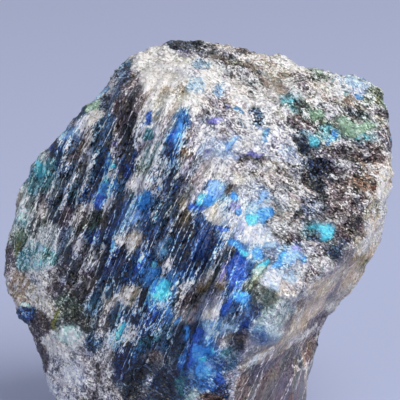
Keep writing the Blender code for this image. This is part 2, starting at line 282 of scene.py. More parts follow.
# %% Where each tone lies on the front
TONE_PATCHES = {
    "cream": (
        (-6.5, 32, 3, 1.5, 0, 1.5), (-8.5, 28, 1.5, 1.5, 0, 1.38), (1.5, 28, 1.5, 1.5, 0, 1.5),
        (10.5, 25, 1.5, 1.5, 0, 1.38), (8, 10.5, 1.5, 1.5, 0, 0.9), (34, 10, 2, 0.5, 85, 2.2),
        (34, 4, 2.5, 0.5, 72, 1.6), (32, 0, 1.5, 0.5, 62, 1.2), (16.5, 31, 2, 0.5, -12, 0.8),
    ),
    "bone": (
        (23.5, 26, 3, 1, -5, 0.9), (14.5, 31, 2.5, 0.5, -5, 0.9), (9.5, 32, 1.5, 1, -10, 0.9),
        (15, 28, 2, 1.5, 0, 0.8), (5.5, 34.5, 1.5, 0.5, -10, 0.6), (-11.5, 9.5, 2, 1, 40, 0.35),
        (-13, -0.5, 1.5, 1.5, 40, 0.43), (-2.5, 18, 0.5, 0.5, 0, 0.8), (9, 16.5, 1.5, 0.5, 0, 0.9),
        (30, -2, 2, 0.5, 30, 1), (26.5, 24.5, 2, 0.5, -15, 0.6), (32, 21.5, 1.5, 0.5, -35, 0.7),
        (30, 12.5, 1.5, 0.5, -40, 0.7), (-33, 6.5, 2, 0.5, 72, 0.56),
        (-29.5, -10.5, 1.5, 1.5, 60, 0.56), (-27.5, -13, 2, 1, 75, 0.56),
        (-16.5, -12, 1.5, 1.5, 50, 0.35), (-19, 21.5, 1.5, 0.5, 38, 0.9), (-20, 5, 2, 0.5, 25, 0.3),
        (-12.5, -10.5, 1.5, 1, 40, 0.3), (0.5, -7, 1.5, 0.5, 50, 1), (8.5, -23.5, 1.5, 0.5, 40, 1),
        (-1.5, -24.5, 1, 0.5, 80, 0.3), (18, -14.5, 1.5, 0.5, 62, 0.7),
        (24.5, -12.5, 1, 0.5, 25, 0.8), (19.5, 25.5, 2, 1, -5, 0.8), (4, 34.5, 1.5, 0.5, -5, 0.7),
        (7, 31.5, 1.5, 0.5, -20, 0.5), (13, 12, 2, 1.5, 0, 1.2), (31.5, 4.5, 1.5, 1.5, 70, 1.3),
        (-7, 21, 1.5, 1, 78, 0.9), (-28, 5.5, 1.5, 0.5, 60, 1), (28, -1.5, 1.5, 0.5, 20, 1),
        (28, 23.5, 1.5, 0.5, -30, 1),
    ),
    "chalk": (
        (-5.5, 29, 2, 2, 0, 1.25), (6.5, 26.5, 2, 1.5, 0, 1.25), (-6.5, 22.5, 1.5, 2, 75, 1.25),
        # The chalk patch at 2.5 across, 4 up is a pale boulder: partly its own white, partly a painted
        # highlight where it meets the light.
        (-0.5, 24, 1.5, 1, 0, 1), (13, 22.5, 2, 1, 10, 1.12), (2.5, 4, 1.5, 1.5, 20, 1.4),
        (16, 5, 2.5, 1, 65, 1), (8.5, 21.5, 1.5, 0.5, -25, 1), (2.5, -12.5, 1, 0.5, 60, 0.6),
        (-25, -19.5, 2.5, 1.5, 0, 0.48), (-16.5, 10.5, 1, 0.5, 0, 0.39), (16, -9, 2, 1.5, 60, 0.9),
        (-11.5, -18, 1, 1, 0, 0.35), (2, 12, 2, 1.5, 0, 1.1), (13, 26.5, 2, 1.5, 0, 1.2),
        (-9, 23, 2, 1.5, 66, 1.2), (-1.5, 33.5, 1.5, 0.5, 0, 0.9), (2.5, 33.5, 1.5, 0.5, -10, 0.6),
        (30.5, -1.5, 2, 0.5, 30, 1.4), (-5.5, 23.5, 1.5, 1, 75, 1),
    ),
    "dune": (
        (32, 1.5, 2.5, 1, 75, 2.4), (35, 11, 2, 1, 82, 3), (28, -7, 1.5, 0.5, 42, 1.4),
    ),
    "sand": (
        (-5.5, 26, 2, 1, 10, 0.9), (-4, 6.5, 1, 1, 30, 1.4), (32, 12, 1.5, 1, -30, 0.8),
        (-16, -13.5, 1, 0.5, 0, 0.37), (-33, -10.5, 1.5, 2, 60, 0.56), (12.5, -21, 2, 1, 26, 1.8),
        (26.5, -6, 1.5, 1, 40, 0.9), (24.5, -7, 1.5, 1, 40, 0.9),
    ),
    "tan": (
        (28.5, -7.5, 2, 1.5, 45, 1.68), (21.5, -10, 2, 1.5, 45, 1.82), (20, -13, 2.5, 1, 57, 1.68),
        (16.5, -18, 2, 1, 52, 1.4), (31.5, -4, 1.5, 0.5, 62, 2), (26, -10.5, 2, 1, 48, 1.2),
        (18.5, -16.5, 2, 0.5, 45, 1), (22.5, -8.5, 1.5, 1, 48, 1), (27, -7.5, 2, 1, 42, 1.3),
    ),
    "ochre": (
        (30, -5.5, 1.5, 1, 60, 1.2), (-2.5, 2.5, 1, 1.5, 0, 0.9), (0, -9, 1, 0.5, 50, 0.8),
        (3.5, -8.5, 1, 0.5, 0, 0.6), (29.5, -5, 1, 1, 55, 1.1),
    ),
    "rust": (
        (-2.5, 14.5, 0.5, 0.5, 0, 0.8), (-22.5, 15, 2, 0.5, 50, 1), (28, 10, 2, 1, -15, 0.9),
        (2.5, -29, 1.5, 0.5, 0, 0.9),
    ),
    "umber": (
        (1, 34, 1.5, 0.5, -20, 0.9), (-12.5, 23.5, 2.5, 1.5, 75, 1.2),
        (-21.5, -9, 2.5, 1.5, 72, 0.9), (-29, -22.5, 2, 0.5, -75, 0.8), (-2, 13, 0.5, 1, 0, 0.5),
        (4.5, 32, 1.5, 0.5, -30, 0.8), (8, 30.5, 1, 0.5, -20, 0.6), (12, 26.5, 1.5, 0.5, -25, 0.6),
        (26.5, 6.5, 1.5, 0.5, -25, 0.6), (27.5, 4.5, 1.5, 1.5, 0, 0.8),
        (-2.5, -11, 1.5, 1, 66, 1.5), (-23.5, -5.5, 1.5, 1, 66, 0.9),
        (-26.5, -10, 1.5, 0.5, 66, 0.7), (-29, -16, 1.5, 1, -60, 0.8), (5, 8, 1, 0.5, 0, 0.8),
        (-24.5, 4, 1.5, 0.5, 70, 0.8), (8, 34, 1.5, 0.5, -15, 0.8),
    ),
    "brown": (
        (18.5, 20, 2, 0.5, -25, 0.63), (18.5, 28, 1.5, 1.5, -50, 0.49), (26, 16, 5, 1, 0, 0.75),
        (31.5, 14.5, 1.5, 1.5, 0, 0.68), (25, 4, 2, 1.5, 0, 0.6), (26.5, 0.5, 2.5, 1.5, 0, 0.68),
        (19, -12, 1.5, 0.5, 62, 0.8), (22.5, -16, 1.5, 0.5, 60, 0.9),
        (20.5, -17.5, 1.5, 1.5, 45, 1), (26, 9, 1.5, 1, -25, 0.9),
    ),
    "taupe": (
        (3.5, 33.5, 1.5, 1, -20, 0.8), (-11.5, 26.5, 2, 0.5, 75, 0.8),
        (-10.5, 22.5, 2, 0.5, 75, 0.8), (2.5, 23.5, 1.5, 1, 0, 0.8), (18.5, 9, 1.5, 1.5, 0, 0.8),
        (26.5, 7, 2.5, 1, 0, 0.8), (-29, 7, 1.5, 0.5, 72, 0.43), (-35.5, -4, 2, 0.5, 80, 0.43),
        (26.5, -4, 1.5, 1.5, 0, 0.8), (25, -10, 2, 1.5, 45, 1), (15.5, -16, 1.5, 1, 52, 0.9),
        (5, -1, 1.5, 0.5, 80, 0.7), (5.5, -18.5, 2, 1.5, 0, 0.8), (-8.5, -21, 1.5, 1, 60, 0.26),
        (10.5, 11.5, 1.5, 0.5, -15, 0.7), (34, 17.5, 2, 1, -75, 0.8), (34, 3.5, 1, 0.5, -80, 0.9),
        (13, -21.5, 2, 1, 20, 0.8), (-13, 19, 2, 1.5, 70, 0.8), (9.5, 12, 2, 1.5, -10, 1.6),
        (29, 15.5, 2.5, 1.5, -5, 1.2), (27.5, 12, 1.5, 1, 0, 0.8), (-9, -21.5, 1.5, 1, 50, 0.7),
        (25.5, 13.5, 1.5, 1, -20, 1), (20, -6.5, 1.5, 1, 0, 0.8), (-17.5, -16, 1.5, 1, 66, 0.8),
        (-12, 27, 1.5, 1, 70, 0.9), (25, 11.5, 1.5, 1, -25, 1.4), (-20.5, 12.5, 1.5, 1, 65, 1.2),
        (15.5, 11.5, 1.5, 0.5, 15, 1.2), (24, 8, 1.5, 1, -35, 1.4),
    ),
    "steel": (
        (-2, 8.5, 1.5, 1, 70, 0.35), (-20, 13, 1.5, 1, 60, 0.35), (-3.5, -11, 1.5, 1.5, 60, 0.3),
        (-18.5, -16.5, 2, 1.5, 60, 0.3), (-24.5, -0.5, 1.5, 1, 60, 0.26),
        (-21, -5, 1.5, 1.5, 60, 0.39), (-25, 8.5, 1.5, 1.5, 0, 0.3),
        (-6.5, 0.5, 1.5, 0.5, 66, 0.22), (-8.5, 11, 1.5, 1, 0, 0.35),
        (-2.5, -9, 1.5, 0.5, 30, 0.39), (-15.5, 14, 1.5, 1, 70, 0.26), (-6.5, -5.5, 1, 1, 60, 0.3),
        (-12, 2, 1.5, 1, 60, 0.35), (-18.5, 6, 1, 1, 0, 0.35), (-23.5, 10.5, 3.5, 1.5, 68, 1.2),
        (-20, 12, 2, 1.5, 66, 1.2), (-23.5, 16, 1.5, 1.5, 66, 0.9), (2, -10.5, 1.5, 1.5, 0, 1),
        (9, 8, 1.5, 1.5, 0, 0.9), (-5.5, 6.5, 2.5, 1.5, 66, 1.2), (5.5, 0.5, 1.5, 1.5, 0, 1.4),
        (5.5, -14, 1.5, 1.5, 70, 0.9), (-5.5, 4, 1.5, 1, 66, 0.8), (-1, -14, 0.5, 0.5, 0, 0.8),
        (20, 5, 1.5, 1, 0, 1), (-19, 11.5, 1, 0.5, 66, 0.8), (12.5, -3, 1.5, 0.5, -10, 0.9),
    ),
    "ash": (
        (7.5, 29.5, 2.5, 1, -10, 0.9), (6, 33.5, 1.5, 1, 0, 0.7), (5, 19, 1.5, 1, 0, 0.8),
        (13, 24.5, 1.5, 0.5, -30, 0.7), (23, 23, 2, 1, 0, 0.8), (25, 30, 1.5, 0.5, -20, 0.8),
        (21.5, -1, 1.5, 1, 0, 0.9), (22, -5, 1.5, 1.5, 0, 0.8), (15.5, 2, 1.5, 1, 0, 0.7),
        (-27.5, 0, 1.5, 1.5, 0, 0.5), (-28.5, -7.5, 2, 1, 0, 0.5),
        (-18.5, -22.5, 2.5, 1.5, 60, 0.35), (-10, -29, 1.5, 1, 80, 0.3),
        (-26, -25, 2.5, 2, 0, 0.35), (19.5, -7, 1.5, 1, 0, 0.7), (9.5, 12, 2, 1.5, -10, 1.4),
        (2, 34, 1.5, 1, -10, 1), (9, -21, 1.5, 1.5, 0, 1.6), (13, 4.5, 1.5, 1.5, 0, 0.6),
        (-20, -2.5, 1.5, 1.5, 66, 1), (-20, 12, 1.5, 1.5, 66, 0.8), (9.5, 26.5, 1.5, 1.5, -20, 1),
        (15.5, 4, 2, 2, 0, 1.2), (15.5, 7.5, 1.5, 1.5, 0, 0.9), (-10, -27.5, 1.5, 0.5, 60, 0.6),
        (19.5, 14.5, 1.5, 0.5, -20, 0.7), (-2.5, -13.5, 1.5, 1, 70, 0.8),
        (-20.5, -4, 1.5, 1.5, 55, 1.3), (19, 8.5, 1.5, 1, -20, 0.9), (-21, 4, 2, 0.5, 30, 1.1),
        (-28, -8.5, 1.5, 1, 60, 0.5), (16, 11, 2, 1, 20, 1), (-27, 8, 1.5, 1, 72, 0.9),
        (-12.5, 26, 1.5, 1, 70, 1.2), (-31.5, 7, 1.5, 0.5, 72, 0.7), (24.5, 12.5, 1, 0.5, -25, 1),
        (2.5, 22.5, 1.5, 0.5, 0, 1.2), (24.5, 13, 1.5, 0.5, -20, 1.2), (2, 34, 1.5, 0.5, -10, 1.2),
        (16.5, -9.5, 1.5, 1.5, 50, 1),
    ),
    "lilac": (
        (-1.5, 29.5, 1.5, 1, 0, 0.8), (2, 19.5, 2.5, 1.5, 0, 0.8), (-0.5, 17, 2, 1.5, 0, 0.39),
        (2.5, 17, 2, 1, 50, 0.9), (9, 18, 1.5, 1, 0, 0.8), (14.5, 15.5, 2.5, 2, 0, 1.2),
        (4.5, 11, 1.5, 1, 0, 0.8), (4, -6.5, 1.5, 0.5, 85, 0.9), (-22, 19.5, 1.5, 1, 50, 0.8),
        (16.5, -5.5, 1.5, 1.5, 0, 0.8), (1.5, -10.5, 1.5, 1.5, 0, 0.9), (-17, 26.5, 2, 1.5, 45, 1),
        (-27, -28, 2, 2, -70, 1.5), (-2, 10, 3.5, 2, 80, 1.1), (-6, 20, 1.5, 1.5, 80, 0.8),
        (5.5, 5, 1.5, 1, 70, 1), (-2, 33.5, 2, 0.5, 0, 2.1), (6, -26, 2, 1.5, 75, 1),
        (13, 23, 1.5, 1.5, 0, 1.2), (2, 12, 2, 1.5, 0, 1.2), (9.5, -19, 1, 1, 0, 0.7),
        (8.5, 8, 1.5, 1, 60, 1.2), (-9.5, 18, 1.5, 1, 70, 1.1), (-21, -21.5, 1.5, 1.5, 60, 0.8),
        (-15.5, 14.5, 1.5, 0.5, 70, 0.8), (-10, 9, 1.5, 1.5, 50, 1.3),
        (-16, 5.5, 1.5, 0.5, 66, 0.9), (20.5, -2, 1.5, 1, 15, 1.1),
        (-24.5, 10.5, 1.5, 0.5, 66, 0.9), (-16, 10.5, 1, 0.5, 66, 1), (-9, 9, 1, 0.5, 50, 0.8),
        (-29.5, 11.5, 0.5, 0.5, 60, 0.6), (-6, -5.5, 1.5, 1, 70, 1.2), (-3, -9, 1.5, 0.5, 40, 1.2),
        (2.5, -11, 1, 1, 60, 0.9),
    ),
    "mauve": (
        (-20, 17.5, 2, 0.5, 60, 0.8), (32.5, 23, 1, 0.5, 0, 0.42), (23, 14, 2.5, 1, -15, 0.7),
        (20, 5, 2, 1.5, 0, 0.7), (15.5, 0, 1.5, 1, 0, 0.7), (-0.5, 14, 1, 0.5, 0, 0.35),
        (-15.5, 16.5, 1, 0.5, 0, 0.5), (28, 13, 2, 0.5, -10, 0.6),
    ),
    "milk": (
        (6.5, 1, 2.5, 1.5, -12, 1.32), (9.5, 0, 2, 1, -10, 1.1), (6.5, 3.5, 1.5, 1, 0, 0.77),
        (6.5, -26, 1, 1, 0, 1), (12.5, -7.5, 1.5, 1, 0, 1), (28.5, 27, 1, 0.5, 0, 0.8),
        (-21.5, 20.5, 1.5, 0.5, 35, 0.8), (2, 15.5, 2, 1.5, 30, 1.2), (5.5, 15.5, 2, 1.5, 40, 0.8),
        (-27, -28.5, 2, 1.5, -70, 1.2), (-9, 19, 1.5, 1.5, 66, 1), (10.5, 17, 2.5, 2, -20, 1),
        (-24, -25, 1.5, 1.5, 0, 0.8), (15.5, 15, 1.5, 1.5, 0, 0.9), (28, 27.5, 2, 1, -15, 1.1),
        (-20, 14.5, 1, 0.5, 60, 0.6), (-24, 17.5, 1, 1, 60, 0.9),
    ),
    "mist": (
        (-7.5, 14, 1.5, 1.5, 0, 0.62), (-7, 21.5, 1.5, 0.5, 80, 0.6),
        (22.5, 30.5, 1.5, 0.5, -15, 0.7), (-24.5, -18.5, 1.5, 1, 10, 0.62),
        (11.5, -14, 1.5, 1, 0, 0.9), (-2.5, -28.5, 1.5, 1.5, 70, 0.5), (-24, -18, 2, 1.5, 0, 1.6),
        (-31.5, 6.5, 3.5, 1.5, 75, 1), (13, -15.5, 3.5, 2, 80, 1.1), (-31, 8, 1.5, 1, 72, 1.1),
        (-27.5, -0.5, 1.5, 1, 66, 0.9), (-28, 15, 1.5, 0.5, 55, 0.9), (5, -21, 1.5, 1, 0, 0.7),
        (-9, 12.5, 1.5, 1, 66, 1), (22.5, 30.5, 2, 0.5, -20, 1.4),
    ),
    "sky": (
        (0, 30.5, 1, 0.5, 0, 0.9), (-0.5, 27, 1, 1, 0, 1.1), (3.5, 26.5, 1, 1, 0, 0.8),
        (28, 28, 2, 1, -15, 1), (20, 31.5, 1.5, 0.5, -15, 0.8), (2.5, 8.5, 1.5, 1.5, 0, 1),
        (10, 4.5, 2, 1.5, 40, 1.2), (15.5, -3.5, 2, 1.5, 50, 1), (10, -2, 1.5, 1, 30, 0.8),
        (-6.5, -2, 1.5, 0.5, 60, 0.6), (11.5, -16, 1.5, 0.5, 20, 0.7), (4.5, -16, 1, 0.5, 0, 0.7),
        (-14, -17.5, 1.5, 1, 62, 0.8), (-9, 10, 1, 0.5, 0, 0.6), (5.5, 16, 1.5, 1, 50, 0.5),
        (-31, 12, 1.5, 1, 66, 1), (-6, -10, 2, 1, 66, 1.9), (5, 5.5, 1.5, 1, 66, 1.2),
        (2.5, -16.5, 1.5, 1, -10, 0.9),
    ),
    "azure": (
        (-4, 18.5, 2.5, 1, 82, 1.2), (-6.5, -10, 2.5, 1.5, 68, 1.4),
        (0.5, -22.5, 3.5, 1.5, 68, 1.4), (-16.5, 8.5, 1.5, 1, 70, 1.2), (-10.5, 6, 2, 1, 66, 0.9),
        (6.5, -1.5, 1.5, 0.5, 0, 0.9), (7.5, -10.5, 1, 1, 0, 0.8), (-23.5, 18, 1.5, 1, 40, 0.7),
        (-5.5, -6.5, 1.5, 1.5, 66, 0.6), (2, -25, 1.5, 1.5, 60, 1.2), (-17, 11.5, 2.5, 1, 75, 0.9),
        (-10.5, -5.5, 1.5, 1, 66, 1.8), (-1.5, -20.5, 2, 1, 75, 0.9),
    ),
    "denim": (
        (-7.5, 3.5, 2.5, 1, 66, 1.03), (0.5, 2.5, 2, 1, -60, 1.03), (3.5, -1, 1.5, 0.5, 75, 1.03),
        (-1.5, -6.5, 1.5, 1, 0, 1.03), (7, -6.5, 1.5, 1.5, 0, 1.15), (-19, 8.5, 2, 0.5, 70, 0.92),
        (-11, -5.5, 2, 1, 68, 1.26), (5, -12.5, 1.5, 1, 75, 1.03), (-24.5, 16, 1.5, 0.5, 70, 1.03),
        (3.5, -21.5, 2, 1, 60, 0.92), (11.5, -18, 1.5, 1, 0, 0.9), (-19, 0, 2, 1, 50, 0.92),
        (-31.5, -14.5, 1, 0.5, 0, 0.92), (7.5, -15.5, 1.5, 0.5, 60, 0.8),
        (5.5, -10.5, 1.5, 1.5, 66, 1.6), (-12, 4, 2.5, 0.5, 66, 1.4), (-8, -7, 1.5, 1, 60, 1.4),
        (-3, -27.5, 2, 1, 70, 0.8), (-16, 0.5, 1.5, 0.5, 70, 1),
    ),
    "navy": (
        (-1, -2, 3.5, 2.5, 60, 1.61), (-5, 9, 3, 1, 65, 1.26), (-5, 14.5, 1.5, 1, 72, 1.15),
        (-14, 27, 1.5, 0.5, 65, 0.9), (-18, 12.5, 2.5, 0.5, 68, 1.15), (-15, 4, 2, 1, 70, 1.15),
        (-27, 16, 1.5, 0.5, 50, 0.92), (-15, -5, 2, 1.5, 66, 1.26), (-1.5, -18, 2, 1, 70, 1.15),
        (6.5, -13, 1.5, 0.5, -78, 1.03), (4, -26.5, 1.5, 1, -60, 0.92), (-13, -22, 2, 1, 78, 1.03),
        (-25, 12, 1, 1, 0, 0.8), (10, -12.5, 1.5, 0.5, 80, 0.92), (-12.5, 12, 1.5, 1, 60, 0.8),
        (-9, -14, 1.5, 1.5, 66, 1.2),
    ),
    "slate": (
        (-9, -18.5, 2.5, 1.5, 20, 1.26), (-17.5, 19, 2, 1, 62, 0.9),
        (-14.5, 29.5, 1.5, 0.5, 60, 0.9), (-21.5, 22, 1, 0.5, 50, 0.8), (-26, 6.5, 2, 1, 68, 0.92),
        (-23, 7.5, 1.5, 0.5, 75, 0.8), (-16, -8.5, 2, 1, 66, 1.03),
        (-19.5, -12.5, 1.5, 1.5, 60, 1.15), (-15, -14.5, 1.5, 1, 60, 0.92),
        (10.5, 21.5, 1, 1, 0, 0.8), (5, -21.5, 1.5, 1.5, 0, 0.69), (-19.5, -20, 1, 1, 0, 0.8),
        (-4.5, -2, 2, 1, 66, 0.69), (-15, 25.5, 1.5, 0.5, 68, 1), (-18.5, 15.5, 2, 0.5, 66, 0.9),
        (-13, 4.5, 2, 1.5, 66, 1.5), (-14, 8, 1.5, 0.5, 66, 1), (-7, 4.5, 2.5, 1, 62, 1),
        (-0.5, 4, 1.5, 0.5, 75, 1), (-13, 1.5, 1.5, 0.5, 66, 1.2),
    ),
    "sea": (
        (-29, 12.5, 1.5, 1.5, 70, 1.2), (-30.5, 9, 2, 1, 70, 1), (-29.5, -4, 1.5, 1.5, 40, 1.2),
        (-32, -2, 2, 0.5, 75, 0.7), (16, 24.5, 1.5, 1, 0, 1.1), (-4.5, 11.5, 1.5, 0.5, 66, 0.7),
        (22, 1, 2, 1, -10, 1), (23.5, 18, 1.5, 1, -20, 1), (20.5, 17, 1.5, 0.5, -55, 0.9),
        (29.5, 18, 2, 1, 0, 0.7), (-32.5, 3, 1, 1, 0, 0.8), (-27.5, 10, 2.5, 1.5, 70, 1),
        (-31.5, 9, 1.5, 0.5, 72, 0.8), (-30, 11, 1.5, 0.5, 60, 0.9), (-19, 25, 1.5, 1, 55, 0.8),
    ),
    "sage": (
        (-19.5, 23.5, 1.5, 1, 50, 1), (21.5, 29.5, 1.5, 0.5, -15, 1.08), (21, 22, 1.5, 1, 0, 1.2),
        (30.5, 20, 1.5, 1, 0, 1.44), (26.5, 20, 1.5, 1, 0, 1.08), (32.5, 25.5, 1.5, 1.5, 60, 1.32),
        (-33, -0.5, 1.5, 1.5, 75, 1), (-25.5, -15.5, 1.5, 0.5, 70, 0.7), (10, -7, 2, 0.5, 60, 0.7),
        (-10, 12, 1.5, 1, 60, 0.6), (27.5, 18.5, 2, 1, 0, 0.8), (-24, -13.5, 1.5, 1.5, 66, 0.7),
    ),
    "forest": (
        (11, -10.5, 2.5, 1.5, -55, 1.2), (-23, -13.5, 2.5, 2, 60, 1.2),
        (-18.5, 3, 2.5, 1.5, 15, 1.2), (-30.5, 6, 1, 1, 60, 0.8), (28.5, 22.5, 2, 1, -35, 0.6),
        (18, 23.5, 1.5, 0.5, -40, 0.7), (-13.5, 5.5, 2, 0.5, 70, 0.8), (-30, 1.5, 1.5, 1, 60, 0.6),
        (9, -8.5, 1.5, 1, 0, 0.6), (-21.5, -9, 1.5, 1, 60, 0.9), (-20.5, -15.5, 1.5, 1, 60, 0.8),
        (28, 18.5, 1.5, 1, 0, 1),
    ),
    "coal": (
        (-2, 35, 3, 0.5, -5, 1.1), (-13, 17, 2, 1, 75, 1.4), (-9.5, -9.5, 3.5, 0.5, 70, 1.2),
        (1.5, -5, 1.5, 1.5, 0, 1), (3, -2.5, 2, 0.5, 66, 0.8), (1.5, -9.5, 2, 1, 40, 1),
        (-4, -18.5, 2.5, 0.5, 72, 1.1), (-5.5, -28, 2, 2, 60, 1), (18.5, 16, 1.5, 0.5, -45, 0.88),
        (22, 12.5, 2.5, 1, -15, 0.88), (24.5, 10.5, 1.5, 0.5, -35, 0.68),
        (22, 8.5, 2, 0.5, -40, 0.82), (17.5, 4, 1, 0.5, 0, 0.61), (21, 0, 1.5, 0.5, -38, 0.68),
        (27.5, -1.5, 1.5, 0.5, -20, 0.61), (24, -3, 1.5, 1, 0, 0.68),
        (-22.5, 12, 1.5, 0.5, 55, 0.9), (-23.5, -5, 2, 1, 75, 1), (-16.5, 1.5, 2, 0.5, 70, 0.8),
        (7, -20, 1.5, 0.5, -80, 0.9), (-17.5, -4, 1.5, 1, 60, 0.7), (-25.5, 4.5, 1.5, 0.5, 70, 0.6),
        # The coal patch at -2 across, -3 up darkens a hollow: painted shade.
        (-17, 24.5, 1.5, 0.5, 66, 0.9), (-2, -3, 2, 1.5, 60, 1.4), (-2, 1, 1.5, 1.5, 66, 1.3),
        (5, -4, 1, 1, 0, 1.7), (-11, -24, 2, 1.5, 60, 0.9), (-6, -28, 1.5, 1.5, 60, 1),
        (-14.5, 5, 2.5, 1, 70, 2.2), (-9, -28.5, 2, 1.5, 60, 1.2), (-13.5, 5, 1.5, 0.5, 70, 1.5),
    ),
}
print("tone patches:", sum(len(rows) for rows in TONE_PATCHES.values()))

# %% [markdown]
# On the stone one tone turns into the next within a millimetre or two. A plain average of all
# patches would be muddy. So a patch's share falls off fast with distance and is then raised to
# a power, which lets the nearest tone win. A trace of taupe fills the gaps between patches.

# %% Average the tones near each point
# TRACE is the share of the taupe, TONE_SPREAD is added to a patch's half-sizes, TONE_FALL is
# how fast a share falls off, and CRISP is the power.
TRACE = 0.0001
TONE_SPREAD = 0.4
TONE_FALL = 1.4
CRISP = 1.6

tint = TRACE * np.tile(screen(TONES["taupe"]), (len(places), 1))
weights = np.full(len(places), TRACE)
for name, rows in TONE_PATCHES.items():
    for across, up, long, wide, lean, strength in rows:
        gap = reach(across, up, long + TONE_SPREAD, wide + TONE_SPREAD, lean)
        share = (strength * np.exp(-TONE_FALL * gap ** 2)) ** CRISP
        tint += share[:, None] * screen(TONES[name])
        weights += share
tint /= weights[:, None]
print("mean tone of the front:", ((tint * front[:, None]).sum(axis=0) / front.sum()).round(2))

# %% [markdown]
# The cleavage under the lip is calmer than the rest and has clear borders: a grey face, a
# clay-brown flank, a pale lip and an amber edge. An average would blur them, so its patches are
# laid over the tint with hard edges, the later ones on top.

# %% Lay patches with clear borders, first on the cleavage
# A colour yields to the next one where that covers at least YIELDS of what it does itself.
YIELDS = 0.8
EDGE_GAIN = 2.5
CLEAVAGE_HARD = 3.0
CLEAVAGE_TONES = {
    "clay": ((9, -27, 4, 2, 85, 1.0), (20, -21.5, 3, 1.5, -75, 0.8)),
    "mauve": ((14.5, -26, 5.5, 5, 70, 1.0), (14.5, -30, 5, 5, 0, 1.0)),
    "sand": ((19.5, -25, 5, 0.5, -80, 0.8), (13, -21, 3.5, 1, 25, 1.0)),
    "chalk": ((10.5, -22, 3, 0.5, 25, 0.9), (17.5, -19, 4, 0.5, 28, 0.8)),
}


def lay_over(covered, colour, cover, code):
    """Lay one more colour on top, where it covers about as much as what is there or more."""
    share = np.where(cover > covered * YIELDS, smooth(cover * EDGE_GAIN), 0)[:, None]
    colour = colour * (1 - share) + screen(code) * share
    return np.maximum(covered, cover), colour


def paint(table, colours, hard):
    """Lay a table of patches: how much each point is covered, and in what colour."""
    colour = np.tile(screen(colours[next(iter(table))]), (len(places), 1))
    covered = np.zeros(len(places))
    for name, rows in table.items():
        covered, colour = lay_over(covered, colour, lay(rows, hard), colours[name])
    return covered, colour


covered, crisp = paint(CLEAVAGE_TONES, TONES, CLEAVAGE_HARD)
tint += (crisp - tint) * covered[:, None]
print("points on the cleavage:", int((covered > 0.5).sum()))

# %% [markdown]
# A flash is light sent back from layers inside the feldspar. On the real stone it comes and goes
# as the stone is turned. Layers that thin can't be modelled, so each flash keeps one colour of
# its own here, from violet through blue to green, laid in streaks along the grain on the left
# face and in loose patches on the right.

# %% The colours of the flashes
FLASH_COLOURS = {
    "violet": "#8886d6",
    "periwinkle": "#82aef0",
    "royal": "#2a56b4",
    "azure": "#3f8ad8",
    "ice": "#a4c4e4",
    "cyan": "#4cbfe6",
    "turquoise": "#46a0b2",
    "teal": "#35707c",
    "green": "#7c9c84",
    "olive": "#75783f",
    "mint": "#b4dcd4",
    "deep": "#183262",
}
print("flash colours:", len(FLASH_COLOURS))

# %% [markdown]
# Flashes are listed as the tones are, the deepest first, because a later one lies on top.

